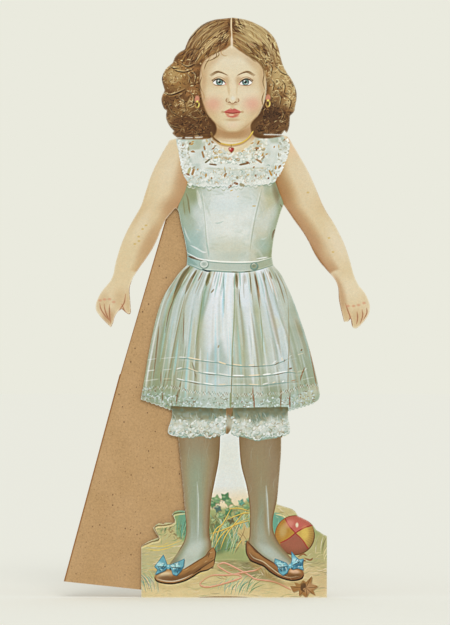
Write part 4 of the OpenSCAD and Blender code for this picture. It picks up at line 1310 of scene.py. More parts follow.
for side in (-1, 1):
    x = MID + side * (EYE / 2 + EYE * 0.55)

    def eye(points):
        """Points of an eye as (share of its half width outwards, pixels down), on its side."""
        return [(x + side * out * EYE / 2, EYES + low) for out, low in pairs(points)]

    almond = eye((-1.04, 1.5, -0.62, -1.5, 0, -3.3, 0.6, -2.7, 1.04, 0.1, 0.62, 2.1, 0, 2.8, -0.6, 2.5))
    dab(x, EYES - 1.5, 9.4, 5.6, "tan", 0.34, 1.2, 0, face)
    dab(x - side * 6.4, EYES - 2.6, 3.2, 4.6, "tan", 0.4, 1.3, 0, face)
    dab(x, EYES - 6.4, 7, 2, "cream", 0.55, 1.2, 0, face)
    wash(almond, "white", 1, 0.3)
    whites = stencil(almond, 0.3)
    dab(x, EYES - 2.9, 6.6, 1.6, "tan", 0.55, 1, 0, whites)
    for size, ink, strength in ((3.5, "slate", 0.95), (2.9, "pine", 0.95), (2.2, "teal", 0.6)):
        dab(x, EYES - 0.5, size, size, ink, strength, 0.3, 0, whites)
    dab(x + 0.5, EYES + 1.1, 1.7, 1.1, "aqua", 0.8, 0.7, 0, whites)
    dab(x, EYES - 0.5, 1.5, 1.5, "soot", 1, 0.3, 0, whites)
    dab(x - 1.1, EYES - 1.7, 0.85, 0.8, "white", 1, 0.4)
    dab(x + 1.4, EYES + 0.9, 0.5, 0.5, "white", 0.6, 0.6)
    brush(eye((-1.1, 1.7, -0.64, -1.5, 0, -3.5, 0.62, -2.9, 1.12, 0)), 1.5, "bark", 0.95, 0.5, 0.35)
    brush(eye((-0.9, 2.1, -0.4, 2.9, 0.2, 3.1, 0.7, 2.5, 1.04, 0.8)), 0.8, "sienna", 0.7, 0.5)
    brush(eye((-0.9, -2.6, -0.3, -5.1, 0.4, -5.2, 1, -3.1, 1.24, -1.6)), 0.8, "sienna", 0.65, 0.6)
    for out in (0.62, 0.8, 0.97, 1.1):
        brush(eye([(out, -2.9 + 2.6 * (out - 0.5)), (out + 0.13, -4 + 2.6 * (out - 0.5))]), 0.6, "bark",
            0.7, 0.4, 0)
    dab(x - side * 6.1, EYES + 1.5, 0.9, 0.8, "blush", 0.9, 0.5)
    arch = evenly([(x - side * 7.6, BROW + 1.3), (x - side * 2.4, BROW - 1), (x + side * 2.6, BROW - 1.7),
        (x + side * 8.6, BROW + 1.9)], 22)
    brush(arch, 2.2, "bronze", 0.4, 1, 0.4)
    for k, (hx, hy) in enumerate(arch):
        brush([(hx - side * 0.8, hy + 0.9), (hx + side * 1.2, hy - 0.5)], 0.6,
            "walnut" if k % 3 else "umber", 0.75 * np.sin(np.pi * (k + 2) / 25) + 0.1, 0.4, 0)
brush([(MID - 6.4, EYES - 5), (MID - 4, 88), (MID - 3.4, 95)], 2.6, "fawn", 0.55, 1.4)
brush([(MID + 6.4, EYES - 5), (MID + 4.4, 88), (MID + 4.2, 95)], 1.8, "fawn", 0.4, 1.4)
brush([(MID + 0.4, 78), (MID + 0.6, 88), (MID + 0.4, 97)], 2.6, "cream", 0.6, 1.8)
dab(MID + 0.5, NOSE - 4.2, 2, 2, "pearl", 0.5, 1.4)
dab(MID, NOSE + 1.5, 5.4, 1.5, "tan", 0.5, 1.1)
for side in (-1, 1):
    dab(MID + side * 5.2, NOSE - 2.2, 2, 2.4, "tan", 0.35, 1.1)
    brush(beside(NOSE, 5.5, -4.4, 6.4, -1.9, 4.9, -0.1, side=side), 0.9, "sienna", 0.6, 0.6)
    brush(beside(NOSE, 4.4, 0.3, 3, -0.5, 1.6, 0.5, side=side), 1.2, "sienna", 0.85, 0.5)
brush(beside(NOSE, -1.8, 0.8, 0, 1.4, 1.8, 0.8), 0.8, "sienna", 0.6, 0.5)
dab(MID, (NOSE + MOUTH) / 2, 2, 2.6, "fawn", 0.5, 1.1)
wash(beside(MOUTH, -7.8, 0.4, -3.8, 1.1, 0, 1.4, 3.8, 1.1, 7.8, 0.4, 4.7, 3.9, 0, 5.4, -4.7, 3.9), "coral",
    1, 0.35)
wash(beside(MOUTH, -8.8, 0, -4.6, -2.6, -1.7, -3.7, 0, -2.9, 1.7, -3.7, 4.6, -2.6, 8.8, 0, 4.4, 0.8, 0, 1.1,
    -4.4, 0.8), "rose", 1, 0.35)
dab(MID, MOUTH + 3.8, 5.5, 1.8, "rose", 0.55, 1)
dab(MID - 1.2, MOUTH + 2.8, 2.8, 0.9, "peach", 0.85, 0.9)
brush(beside(MOUTH, -3.2, -2.6, -1.2, -3), 0.7, "peach", 0.55, 0.6)
brush(beside(MOUTH, -9.6, -0.4, -4.6, 0.5, 0, 1, 4.6, 0.5, 9.6, -0.4), 1.1, "crimson", 0.95, 0.45, 0.25)
brush(beside(MOUTH, -3, 0.9, 0, 1.1, 3, 0.9), 0.8, "umber", 0.5, 0.5)
for side in (-1, 1):
    dab(MID + side * 9.8, MOUTH - 0.2, 1.5, 1.3, "tan", 0.55, 1)
dab(MID, MOUTH + 7.6, 6.4, 1.5, "tan", 0.5, 1.2)
print(f"nose at row {NOSE:.1f}, mouth at row {MOUTH:.1f}")

# %% [markdown]
# ## Hair
# The crown is combed from the parting in wide sheets of single hairs, with short dark strokes
# where the sheets turn under. The curls at both sides are bunches: many short arcs that get
# darker away from the light. Dark waves with a pale one above them part the bunches.

# %% Ground and masses of the hair
SHADES = "soot bark umber walnut bronze brass wheat flax".split()
HAIR = (
    232, 14, 206, 16, 190, 26, 182, 44, 164, 56, 158, 80, 158, 100, 160, 120, 168, 136, 190, 139, 212, 137,
    216, 126, 207, 114, 201.5, 98, 199.5, 78, 203, 62, 214, 54, 225, 49, 231.5, 45, 239, 50, 250, 57, 260,
    64, 266, 76, 266, 96, 260, 113, 251, 125, 256, 137, 276, 137, 292, 130, 299, 110, 302, 90, 290, 66, 282,
    44, 268, 24, 250, 15,
)
wash(HAIR, "walnut", 1, 0.7)
hair = stencil(HAIR, 0.6)
lay(hair * 0.85, ramp(cloud(5, 71) * 0.5 + cloud(13, 72) * 0.5, 0.15, "umber", 0.4, "walnut", 0.62,
    "bronze", 0.9, "wheat"))
for x, y, wide, high, ink, strength, turn in [
    (210, 34, 15, 10, "brass", 0.9, -32), (213, 31, 9, 5, "wheat", 0.7, -32),
    (257, 34, 17, 11, "wheat", 0.95, 32), (253, 31, 9, 5, "flax", 0.5, 28),
    (209, 23, 11, 3, "walnut", 0.5, -28), (191, 52, 6, 13, "umber", 0.6, 24),
    (224, 34, 4, 8, "umber", 0.7, 25), (240, 30, 7, 5, "umber", 0.75, 25),
    (261, 52, 7, 6, "umber", 0.75, 30), (277, 50, 5, 13, "brass", 0.7, -14),
    (177, 78, 12, 13, "brass", 0.9, 0), (174, 74, 8, 8, "wheat", 0.7, 0),
    (170, 100, 8, 8, "walnut", 0.6, 0), (184, 109, 13, 6, "brass", 0.85, -20),
    (190, 124, 21, 10, "umber", 0.8, 0), (281, 77, 11, 13, "wheat", 0.85, 0),
    (292, 93, 6, 12, "wheat", 0.8, 0), (276, 98, 8, 9, "walnut", 0.6, 0),
    (272, 119, 16, 15, "umber", 0.95, 0), (270, 112, 9, 9, "bark", 0.6, 0),
    (206, 69, 5, 9, "umber", 0.6, 20), (219, 47, 7, 5, "umber", 0.5, 40),
    (286, 124, 7, 6, "walnut", 0.6, 0), (204, 60, 6, 5, "umber", 0.5, 0),
]:
    dab(x, y, wide, high, ink, strength, 1.2, turn, hair)


# %% Combed hair, locks and bunches of curls
def combed(first, last, count, seed, shades):
    """Hair combed from one line to another, with a fine dark or pale hair after every few."""
    strands(first, last, count, 0.9, shades, 0.6, seed, 1, hair)
    strands(first, last, count // 3, 0.5, "umber walnut bark", 0.6, seed + 1, 1.4, hair)
    strands(first, last, count // 3, 0.5, "flax wheat", 0.6, seed + 2, 1.4, hair)


def bunch(x, y, wide, high, light, seed, count=60):
    """A bunch of curls: short arcs with centres spread over an ellipse. Light falls from the
    upper left, so an arc's ink gets darker with its centre's way to the lower right, around
    the bunch's own light from 0 to 1."""
    random = np.random.default_rng(seed)
    for k in range(count):
        angle, far = random.uniform(0, 6.3), np.sqrt(random.random())
        across_it, along = far * np.cos(angle), far * np.sin(angle)
        r, start = random.uniform(1.2, 0.42 * (wide + high) / 2), random.uniform(0, 6.3)
        arc = start + np.linspace(0, random.uniform(0.7, 2.3), 6)
        line = ellipse(x + across_it * wide, y + along * high, r, 0.8 * r, arc)
        pick = (light - 0.22 * across_it - 0.3 * along) * 8 + random.normal(0, 1.9)
        brush(line, random.uniform(0.45, 1), SHADES[int(np.clip(pick, 0, 7))], random.uniform(0.5, 0.95),
            0.45, 0.45, hair)


combed((231, 17.5, 216, 18.5, 202, 26, 191, 38, 185, 56), (231, 26, 220, 30, 207, 41, 199, 51, 190, 64), 90,
    101, "umber bronze walnut wheat bronze walnut")
combed((231, 27, 221, 31, 209, 41, 201, 50, 191, 64), (231, 43, 227, 47, 219, 51, 209, 56, 201, 66), 90,
    104, "bronze brass wheat bronze walnut bronze")
combed((232, 17.5, 248, 18.5, 264, 27, 275, 42, 281, 62), (232, 26, 244, 29, 257, 38, 268, 50, 275, 66), 90,
    107, "brass wheat wheat flax wheat")
combed((232, 27, 243, 31, 255, 40, 265, 52, 272, 68), (232, 43, 238, 47, 248, 54, 258, 60, 265, 72), 90,
    110, "wheat wheat brass walnut brass")
dab(256, 34, 15, 8, "wheat", 0.45, 1.3, 32, hair)
dab(211, 36, 10, 6, "wheat", 0.3, 1.3, -32, hair)
for box, seed, turn, count, inks in [
    ((219, 28, 230, 42), 131, 50, 56, "umber bark walnut wheat"),
    ((233, 22, 246, 35), 132, -40, 56, "umber bark walnut wheat"),
    ((254, 46, 268, 58), 133, -42, 60, "umber bark walnut brass"),
    ((204, 18, 226, 25), 134, 30, 16, "umber brass walnut"),
    ((184, 44, 202, 60), 135, 58, 56, "umber bark walnut brass"),
    ((202, 46, 220, 58), 136, 55, 46, "umber brass bark wheat"),
    ((268, 38, 282, 60), 137, -68, 50, "umber walnut wheat flax"),
    ((243, 22, 262, 42), 138, -40, 18, "brass flax wheat"),
    ((190, 24, 218, 48), 139, 42, 40, "brass umber wheat walnut"),
    ((236, 42, 262, 62), 140, -38, 22, "umber tan wheat"),
]:
    flicks(count, box, inks, seed, (4, 9), turn + 180, 14, (0.5, 1.3), (0.5, 0.95), hair)
brush((231.6, 15, 231.2, 26, 231.8, 36, 231.8, 46), 2.4, "brass", 0.6, 1, 0.15, hair)
brush((231.4, 16, 231.2, 26, 231.8, 36, 231.8, 47), 1.3, "skin", 0.95, 0.6, 0.15)
brush((231.4, 36, 231.8, 42, 231.8, 49), 2.4, "cream", 0.8, 0.8, 0.3)

# %% The curls at both sides
BUNCHES = [
    (176, 66, 11, 6, 0.45), (190, 66, 9, 7, 0.4), (176, 80, 11, 9, 0.66), (189, 76, 7, 8, 0.48),
    (166, 76, 5, 10, 0.6), (196, 82, 5, 9, 0.45), (170, 98, 9, 8, 0.42), (184, 94, 8, 7, 0.45),
    (196, 98, 6, 8, 0.4), (183, 107, 12, 6, 0.62), (166, 110, 6, 8, 0.4), (174, 120, 9, 8, 0.3),
    (188, 120, 9, 8, 0.3), (202, 116, 7, 9, 0.25), (186, 131, 16, 5, 0.35), (205, 128, 7, 6, 0.28),
    (204, 66, 5, 7, 0.45), (263, 62, 6, 6, 0.45), (271, 66, 7, 8, 0.55), (281, 72, 8, 9, 0.68),
    (267, 80, 5, 10, 0.55), (276, 84, 7, 8, 0.55), (288, 84, 7, 9, 0.68), (292, 97, 6, 9, 0.6),
    (280, 97, 8, 8, 0.45), (268, 98, 6, 8, 0.35), (287, 110, 7, 8, 0.42), (275, 112, 8, 8, 0.2),
    (264, 114, 5, 8, 0.18), (284, 123, 8, 6, 0.32), (268, 126, 9, 7, 0.22), (259, 127, 4, 6, 0.2),
]
for k, (x, y, wide, high, light) in enumerate(BUNCHES):
    bunch(x, y, wide, high, light, 200 + k, int(14 + 0.5 * wide * high))
for line in [  # the waves that part the bunches
    (171, 67, 177, 71, 186, 72, 194, 69), (168, 63, 173, 68, 180, 68), (180, 63, 188, 67, 196, 64),
    (186, 73, 190, 78, 189, 84), (191, 71, 196, 76, 195, 84), (163, 92, 170, 95, 178, 93, 186, 89),
    (165, 88, 162, 82, 163, 74), (178, 96, 184, 103, 186, 111), (190, 91, 194, 98, 193, 106),
    (168, 104, 172, 112, 180, 117), (188, 112, 194, 118, 202, 119), (166, 118, 172, 126, 182, 129),
    (196, 105, 200, 112, 206, 118), (268, 62, 272, 68, 271, 75), (276, 66, 281, 72, 289, 76),
    (270, 78, 274, 84, 273, 91), (281, 79, 285, 86, 284, 94), (290, 80, 295, 87, 296, 95),
    (276, 92, 281, 98, 280, 106), (287, 96, 291, 102, 289, 110), (264, 92, 268, 98, 267, 106),
    (281, 108, 284, 115, 281, 122),
]:
    wave = pairs(line)
    brush(wave, 1.5, "bark", 0.85, 0.5, 0.5, hair)
    brush(wave - (0.9, 1.1), 0.8, "flax" if line[1] < 100 else "wheat", 0.6, 0.4, 0.5, hair)
    brush(wave + (0.4, 1.3), 0.8, "brass", 0.7, 0.4, 0.5, hair)
flicks(40, (171, 103, 195, 114), "wheat brass flax umber", 141, (4, 9), 35, 26, (0.5, 1), (0.5, 0.9), hair)
flicks(70, (162, 116, 212, 136), "wheat brass bark umber", 142, (2, 6), 20, 60, (0.4, 0.8), (0.5, 0.9),
    hair)
flicks(70, (256, 106, 292, 134), "wheat brass bark soot", 143, (2, 6), -20, 60, (0.4, 0.8), (0.4, 0.8),
    hair)
for k, line in enumerate([
    (228, 44, 226, 48, 222, 50, 221, 53, 224, 55.6, 228, 55), (217, 51, 219, 54, 217, 57, 213, 58),
    (208, 52, 212, 49, 216, 52, 216, 57, 211, 60, 205, 62), (206, 60, 202, 66, 202, 73, 204, 78),
    (241, 50, 247, 54, 253, 60, 256, 62), (262, 66, 264, 74, 263, 82, 265, 90),
    (201, 88, 204, 96, 203, 103), (210, 58, 206, 64, 204, 70), (264, 92, 262, 100, 264, 108),
    (212, 54, 209, 58, 205, 58), (257, 58, 262, 63, 264, 69), (202, 76, 200, 84, 202, 92),
]):
    wisp = pairs(line)
    brush(wisp, 1, in_turn(k, "tan walnut umber"), 0.7, 0.5)
    brush(wisp + (0.7, 0.7), 0.6, "wheat", 0.6, 0.5)
for line in [
    (227, 17.8, 213, 19.8, 200, 28, 190.5, 39, 184.5, 51), (168, 60, 162.6, 74, 163.4, 88),
    (161.6, 96, 163.4, 110, 168, 124, 176, 131), (296.6, 92, 296.4, 104, 293, 118, 288, 128),
    (180, 133.6, 194, 134.6, 208, 132.4), (262, 133, 274, 134, 286, 129),
]:
    brush(line, 1.2, "bark", 0.55, 0.8)
# a transparent brown
glaze = np.array((0.06, 0.1, 0.12), np.float32)
picture *= 1 - (hair * np.where(COLUMNS < 235, 1, 0.45))[..., None] * glaze
lay(hair * np.minimum(down(100, 140), 0.22), "bark")
print("the hair is painted")

# %% Earrings and necklace
for x, y in ((197.2, 104.6), (268, 103.6)):
    dab(x, y - 5.6, 2.4, 3.6, "coral", 0.85, 0.8)
    hoop = ellipse(x, y, 2.1, 3.1, np.linspace(-2.4, 3.4, 20))
    brush(hoop, 1.5, "brass", 0.95, 0.4, 0.1)
    brush(hoop[6:13] - (0.3, 0.3), 0.8, "honey", 1, 0.4, 0.2)
    dab(x, y - 3.2, 0.9, 0.9, "honey", 1, 0.5)
CHAIN = pairs(211, 132.6, 214, 138.4, 221, 143.4, 231, 145, 241, 143, 248.4, 138, 253.4, 131)
brush(CHAIN + (0, 1.3), 1.5, "bronze", 0.5, 0.9, 0.05)
brush(CHAIN, 1.7, "gold", 0.95, 0.5, 0.05)
brush(CHAIN[:3], 1.8, "umber", 0.85, 0.5, 0.2)
brush(CHAIN[2:] - (0, 0.4), 0.7, "honey", 0.9, 0.4, 0.1)
brush((231.2, 145, 231.2, 147.6), 1, "brass", 0.9, 0.4, 0)
HEART = pairs(
    228.4, 148.4, 229.8, 147.2, 231.2, 148.1, 232.6, 147.2, 234, 148.4, 233.4, 150.4, 231.2, 152.9, 229,
    150.4,
)
wash(HEART + (0.4, 0.5), "umber", 0.6, 0.3, sharp=True)
wash(HEART, "crimson", 1, 0.3, sharp=True)
dab(230.4, 149.4, 1.5, 1.3, "rose", 0.9, 0.8)
dab(230.1, 148.9, 0.7, 0.6, "white", 0.8, 0.6)
print("the head is painted")

# %% [markdown]
# ## Stipple, press and age
# The stones are drawn in stipple, so every tone is made of fine dots. The press squeezes each
# ink against the next, which makes all edges a little harder. A century has left the paper
# faintly yellow in clouds.

# %% The print's grain
# hair and skirt are drawn crisper
crisp = (0.15 + 0.35 * hair
    + 0.25 * np.clip((skirt + 0.02) * (1.02 - skirt) * 60, 0, 1) * (abs(ROWS - 340) < 74)[:, None])
for channel in range(3):
    flat = picture[..., channel]
    picture[..., channel] = flat + 0.9 * (flat - feather(flat, 0.7)) + crisp * (flat - feather(flat, 2.4))
for size, seed, change in [  # dots of darker, redder and bluer ink, in shares of the tone
    (0.7, 81, (0.022, 0.022, 0.022)), (1.2, 82, (0.012, 0.012, 0.012)), (0.9, 83, (0.012, -0.004, -0.014)),
    (26, 85, (0.006, 0.01, 0.03)),
]:
    picture *= 1 - (cloud(size, seed) - 0.5)[..., None] * np.array(change, np.float32) * 2
picture = np.clip(picture, 0, 1)
print("tones from", round(float(picture.min()), 2), "to", round(float(picture.max()), 2))

# %% [markdown]
# ## The printed sheet as a surface
# The paper is a flat grid of small squares at the height of the CAD sheet's front. Squares
# whose middle lies outside the die line are left out, and the corners along the cut are moved
# onto the die line, so the edge is as clean as the CAD's. The line comes from the CAD sheet
# itself: its front has edges that only one triangle uses. Each corner takes its colour from
# the painting. Ten pieces keep the meshes small, and a Solidify gives the paper its 0.2 mm.

# %% The die line, from the CAD sheet
PAPER = 0.0002  # the printed paper with its paste, in metres
sheet_mesh = nodes["print_sheet"].data
points = np.empty(len(sheet_mesh.vertices) * 3, np.float32)
sheet_mesh.vertices.foreach_get("co", points)
points = points.reshape(-1, 3).astype(float)
sheet_mesh.calc_loop_triangles()
triangles = np.empty(len(sheet_mesh.loop_triangles) * 3, np.int32)
sheet_mesh.loop_triangles.foreach_get("vertices", triangles)
triangles = triangles.reshape(-1, 3)
front = triangles[(points[triangles, 1] < sheet_low[1] + PAPER / 4).all(1)]
place, same = np.unique(np.round(points[:, [0, 2]] * 1e7).astype(np.int64), axis=0, return_inverse=True)
front = same.reshape(-1)[front]
edges = np.sort(np.concatenate([front[:, [0, 1]], front[:, [1, 2]], front[:, [2, 0]]]), 1)
edges, used = np.unique(edges, axis=0, return_counts=True)
cut = place[edges[used == 1]] / 1e7  # the ends of each straight piece of the die line, in metres
print("pieces of die line:", len(cut))

# %% The grid of paper squares
SQUARE = 0.0002  # a paper square's side, in metres
grid_x = np.arange(sheet_low[0] - SQUARE, sheet_high[0] + 2 * SQUARE, SQUARE)
grid_z = sheet_low[2] + np.arange(-1, int((sheet_high[2] - sheet_low[2]) / SQUARE) + 3) * SQUARE
kept = enclosed(cut[:, 0], cut[:, 1], grid_x[:-1] + SQUARE / 2, grid_z[:-1] + SQUARE / 2)
x, z = (array.copy() for array in np.meshgrid(grid_x, grid_z))
around = np.pad(kept, 1).astype(int)
# squares kept round each corner
touching = around[:-1, :-1] + around[1:, :-1] + around[:-1, 1:] + around[1:, 1:]
rim = (touching > 0) & (touching < 4)
start, along = cut[:, 0], cut[:, 1] - cut[:, 0]
corner = np.column_stack([x[rim], z[rim]])
share = np.clip(((corner[:, None] - start) * along).sum(2) / np.maximum((along**2).sum(1), 1e-18), 0, 1)
foot = start + share[..., None] * along
far = np.hypot(*(corner[:, None] - foot).transpose(2, 0, 1))
nearest = far.argmin(1)
pick = np.arange(len(corner))
moved = far[pick, nearest] < 0.9 * SQUARE
corner[moved] = foot[pick, nearest][moved]
x[rim], z[rim] = corner.T
rise, fall = (a[1:, 1:] - a[:-1, :-1] for a in (x, z))
over, up = (a[1:, :-1] - a[:-1, 1:] for a in (x, z))
kept &= rise * up - fall * over > 0.1 * SQUARE**2  # a sliver has no clear front, so it goes
print("squares of paper:", int(kept.sum()), "corners moved to the cut:", int(moved.sum()), "of", len(moved))

# %% Colours from the painting
column = np.clip((x / PX + MIDDLE_PX - COLUMNS[0]) / CELL, 0, COLUMNS.size - 1.001)
row = np.clip((FOOT_PX - z / PX - ROWS[0]) / CELL, 0, ROWS.size - 1.001)
i, j, fi, fj = row.astype(int), column.astype(int), (row % 1)[..., None], (column % 1)[..., None]
colours = (
    (picture[i, j] * (1 - fi) + picture[i + 1, j] * fi) * (1 - fj)
    + (picture[i, j + 1] * (1 - fi) + picture[i + 1, j + 1] * fi) * fj
)
worn = np.random.default_rng(8).uniform(0.1, 0.9, rim.shape)
bare = np.clip(feather(rim.astype(np.float32), 0.3) * 1.8, 0, 1) * worn
colours += bare[..., None] * (tone("white") - colours)  # along the cut the ink is rubbed off
colours = linear(np.clip(colours, 0, 1))
print("colours looked up for", x.size, "corners")

# %% [markdown]
# ## The ink and varnish
# A chromolithograph's ink lies in the paper's grain under a thin varnish. The colour comes
# from the mesh's attribute. Noise at the size of the stone's grain and of the paper's fibres
# varies it a little, and the varnish gives a dull sheen: roughness 0.55 and little specular,
# so the dark curls stay dark.

# %% Printed paper and its cut edge
# cells in a metre: the stone's grain, the paper's clouds, its torn edge
STONE, FIBRE, FRAY = 2600, 420, 900
printed, tree, output = new_material("chromolithograph_on_coated_paper")
spots = add(tree, "TexCoord").outputs["Object"]
ink = add(tree, "Attribute", {"attribute_name": "ink"}).outputs["Color"]
clouds = noise(tree, spots, FIBRE, 3, 0.55)
grain = remap(tree, noise(tree, spots, STONE, 2, 0.6), 0.3, 0.7, 0.97, 1.03)
both = multiply(tree, grain, remap(tree, clouds, 0.3, 0.7, 0.985, 1.015))
surface(tree, output, scaled(tree, ink, both), 0.55, 0.1, clouds, 0.12, 0.00002)

cut_edge, tree, output = new_material("cut_edge_of_rag_paper")
spots = add(tree, "TexCoord").outputs["Object"]
surface(tree, output, two_tones(tree, noise(tree, spots, FRAY, 3), 0.3, "b9ac8c", 0.7, "e2dcc8"), 0.85)
print("materials of the print are made")

# %% The ten pieces of the print
BANDS = [
    ("crown", 78), ("curls", 135), ("yoke", 200), ("bodice", 270), ("gathers", 312), ("skirt", 350),
    ("hem", 410), ("stockings", 500), ("grass", 548), ("slippers", 600),
]


def paper_piece(name, rows):
    """The kept squares of some of the grid's rows as a mesh that shares the grid's corners,
    with the painting's colours and a flat UV map."""
    squares = np.argwhere(kept[rows]) + (rows.start, 0)
    wide = grid_x.size
    corners = squares[:, :1] * wide + squares[:, 1:] + np.array([0, 1, wide + 1, wide])
    used, corners = np.unique(corners, return_inverse=True)
    flat = np.column_stack([x.flat[used], np.full(used.size, sheet_low[1]), z.flat[used]])
    mesh = bpy.data.meshes.new(name)
    mesh.vertices.add(used.size)
    mesh.vertices.foreach_set("co", flat.ravel().astype(np.float32))
    mesh.loops.add(corners.size)
    mesh.loops.foreach_set("vertex_index", corners.reshape(-1).astype(np.int32))
    mesh.polygons.add(len(squares))
    mesh.polygons.foreach_set("loop_start", np.arange(len(squares), dtype=np.int32) * 4)
    mesh.update(calc_edges=True)
    mesh.shade_flat()
    ink = mesh.attributes.new("ink", "FLOAT_COLOR", "POINT")
    shades = np.ones((used.size, 4), np.float32)
    shades[:, :3] = colours.reshape(-1, 3)[used]
    ink.data.foreach_set("color", shades.ravel())
    low, reach = flat.min(0), np.ptp(flat, axis=0).max()
    uv = 0.01 + 0.98 * (flat - low)[:, [0, 2]] / reach
    mesh.uv_layers.new(name="OFBake").data.foreach_set("uv",
        uv[corners.reshape(-1)].ravel().astype(np.float32))
    mesh.materials.append(printed)
    mesh.materials.append(cut_edge)
    piece = bpy.data.objects.new(name, mesh)
    scene.collection.objects.link(piece)
    paper = piece.modifiers.new("paper", "SOLIDIFY")
    paper.thickness, paper.offset = PAPER, -1
    paper.material_offset, paper.material_offset_rim = 1, 1
    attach(piece, "doll")
    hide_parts("print_sheet")
    return len(squares)


top = grid_z.size - 1
for name, low_px in BANDS:
    bottom = max(0, int(np.searchsorted(grid_z, (FOOT_PX - low_px) * PX)))
    print(name, paper_piece("print_" + name, slice(bottom, top)), "squares")
    top = bottom

# %% [markdown]
# ## Chipboard
# The board is made of waste paper and straw, so it is an even warm brown with a fine grain and
# dark specks of bark and ink. Where the die cut it, the layers show and the colour is deeper.
# One material serves the doll's board and a lighter one the easel's. A dark line is also drawn
# along the slanted edge of the easel's wing, as the photo shows.


# %% Chipboard material
DARK_EDGE, DARK_EDGE_WIDE, DARK_EDGE_FADE = "8a5a2c", 0.0007, 0.0003  # the dark line along the wing's slanted edge: its colour, width and fade, in metres


def chipboard(name, pale, middle, dark, fleck, edges=()):
    """Chipboard: clouds of tone 12 mm wide, a grain of 0.6 mm, and specks. A speck is the part
    of a Voronoi cell near its point, in the cells whose random value is high. Faces that look
    sideways are the cut edge. edges are lines (a, b, c): where a x + b z > c for one of
    them, the face is drawn darker, as a dark line along that edge."""
    material, tree, output = new_material(name)
    spots = add(tree, "TexCoord").outputs["Object"]
    colour = two_tones(tree, noise(tree, spots, 80, 2), 0.3, middle, 0.7, pale)
    fine = noise(tree, spots, 1200, 3, 0.7)
    colour = scaled(tree, colour, remap(tree, fine, 0.35, 0.65, 0.89, 1.11))
    for cells, reach, rare, code, strength in [
        (400, 0.14, 0.5, fleck, 0.9), (900, 0.22, 0.5, dark, 0.7), (700, 0.16, 0.85, pale, 0.7),
    ]:
        stretched = add(tree, "Mapping", Vector=spots, Scale=(cells, cells * 0.3, cells * 0.8))
        specks = add(tree, "TexVoronoi", Vector=stretched.outputs[0], Scale=1.0)
        near = remap(tree, specks.outputs["Distance"], reach * 0.5, reach, strength, 0)
        drawn = add(tree, "SeparateXYZ", Vector=specks.outputs["Color"]).outputs["X"]
        chosen = add(tree, "Math", {"operation": "GREATER_THAN"}, _0=drawn, _1=rare)
        colour = laid_over(tree, multiply(tree, near, chosen.outputs[0]), colour, code)
    for a, b, c in edges:
        way = add(tree, "VectorMath", {"operation": "DOT_PRODUCT"}, _0=spots, _1=(a, 0, b))
        darkened = remap(tree, way.outputs["Value"], c, c + DARK_EDGE_FADE, 0, 0.85)
        colour = laid_over(tree, darkened, colour, DARK_EDGE)
    facing = add(tree, "SeparateXYZ", Vector=add(tree, "NewGeometry").outputs["True Normal"])
    level = add(tree, "Math", {"operation": "ABSOLUTE"}, _0=facing.outputs["Y"])
    layers = add(tree, "Mapping", Vector=spots, Scale=(300, 9000, 300))
    ply = two_tones(tree, noise(tree, layers.outputs[0], 1, 2), 0.35, dark, 0.65, middle)
    colour = laid_over(tree, remap(tree, level.outputs[0], 0.3, 0.8, 0.8, 0), colour, ply)
    surface(tree, output, colour, 0.88, 0.2, fine, 0.35, 0.00005)
    return material


wing_points = np.array([vertex.co for vertex in nodes["easel_wing"].data.vertices])[:, [0, 2]]
start, slants = wing_points[wing_points[:, 0].argmin()], []  # from the toe
for _ in range(2):  # the outer edge, in its two cuts
    above = wing_points[wing_points[:, 1] > start[1] + 0.01] - start
    along = above[(above[:, 0] / above[:, 1]).argmin()]  # the leftmost way up is the edge
    outward = np.array([-along[1], along[0]]) / np.hypot(*along)
    slants.append((*outward, start @ outward - DARK_EDGE_WIDE))
    start = start + along
boards = {
    "doll_board": chipboard("brown_pasteboard", "ab8a60", "a27f56", "7d5c3a", "57402a"),
    "easel_leaf": chipboard("easel_chipboard", "bf9c71", "b89569", "8d6a45", "5c4330"),
    "easel_wing": chipboard("easel_wing_chipboard", "bf9c71", "b89569", "8d6a45", "5c4330", slants),
}
for name, material in boards.items():
    mesh = nodes[name].data
    mesh.materials.clear()
    mesh.materials.append(material)
print("the boards have", len(boards), "materials; the pressed line ends at", (start * 1000).round(1))

# %% [markdown]
# ## The linen hinge
# One strip of unbleached linen is pasted over the crease, half on the leaf and half on the
# wing. It is the only part that bends. Here it is one flat grid of points that crosses the
# fold, with its columns of points closer together near the fold. The weave is drawn at 0.5 mm
# a thread, a little coarser than real tape, so that it shows.

# %% The strip
strip_low = np.minimum(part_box("hinge_strip_fixed")[0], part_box("hinge_strip_free")[0])
strip_high = np.maximum(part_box("hinge_strip_fixed")[1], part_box("hinge_strip_free")[1])
FOLD = frame["record"]["behaviour"]["joints"][0]["pos_m"]
THREAD = 0.0005
CREASE = 0.0008  # the columns of points lie closer this far on either side of the fold
FRAYED = 0.0002  # how far a thread can stand back from the strip's sides
u = np.unique(np.concatenate([
    np.linspace(strip_low[0], strip_high[0], 41), FOLD[0] + np.linspace(-CREASE, CREASE, 9),
]))
v = np.linspace(strip_low[2], strip_high[2], 240)
random = np.random.default_rng(5)
fray = np.cumsum(random.normal(0, 1, (2, v.size)), 1)
fray = (fray - np.linspace(fray[:, 0], fray[:, -1], v.size).T) * 0.00001
strip_x, strip_z = np.meshgrid(u, v)
side = (strip_x - strip_low[0]) / (strip_high[0] - strip_low[0])
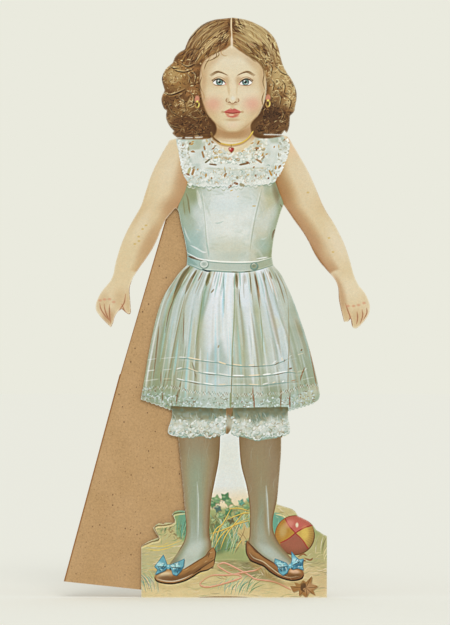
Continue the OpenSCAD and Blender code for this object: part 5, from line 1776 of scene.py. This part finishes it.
strip_x = (strip_x + np.clip(fray[0], 0, FRAYED)[:, None] * (1 - side) ** 8
    - np.clip(-fray[1], 0, FRAYED)[:, None] * side**8)
strip_y = np.full_like(strip_x, strip_high[1])
mesh = bpy.data.meshes.new("hinge_linen")
n, m = strip_x.shape
index = np.arange(n * m).reshape(n, m)
quads = np.stack([index[:-1, :-1], index[1:, :-1], index[1:, 1:], index[:-1, 1:]], -1).reshape(-1, 4)
mesh.from_pydata(np.column_stack([strip_x.ravel(), strip_y.ravel(), strip_z.ravel()]).tolist(), [],
    quads.tolist())
uv = np.column_stack([(strip_x.ravel() - strip_low[0]), (strip_z.ravel() - strip_low[2])])
corner_order = np.empty(len(mesh.loops), np.int32)
mesh.loops.foreach_get("vertex_index", corner_order)
mesh.uv_layers.new(name="weave").data.foreach_set("uv", uv[corner_order].ravel().astype(np.float32))
strip = bpy.data.objects.new("hinge_linen", mesh)
scene.collection.objects.link(strip)
cloth = strip.modifiers.new("cloth", "SOLIDIFY")
cloth.thickness, cloth.offset = strip_high[1] - strip_low[1], -1
print("the strip has", len(quads), "faces")

# %% Linen material
material, tree, output = new_material("unbleached_plain_weave_linen")
place = add(tree, "UVMap", {"uv_map": "weave"}).outputs[0]
parts = add(tree, "SeparateXYZ", Vector=place)
waves = []
for axis in ("X", "Y"):
    turn = multiply(tree, parts.outputs[axis], np.pi / THREAD)
    waves.append(add(tree, "Math", {"operation": "SINE"}, _0=turn).outputs[0])
high = remap(tree, multiply(tree, *waves), -1, 1, 0, 1)
slub = add(tree, "Mapping", Vector=place, Scale=(1300, 900, 1))
uneven = two_tones(tree, noise(tree, slub.outputs[0], 1, 2), 0.25, "c0ab82", 0.75, "ddcca6")
# painted shade: the dips between the threads are darker, and a little painted light makes the threads' tops
# lighter
shaded_weave = scaled(tree, uneven, remap(tree, high, 0, 1, 0.86, 1.04))
surface(tree, output, shaded_weave, 0.9, 0.2, high, 0.5, 0.00008)
mesh.materials.append(material)
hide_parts("hinge_strip_fixed", "hinge_strip_free")
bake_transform(strip)
print("flat size of the strip in mm:", [round((strip_high[k] - strip_low[k]) * 1000, 1) for k in (0, 2)])
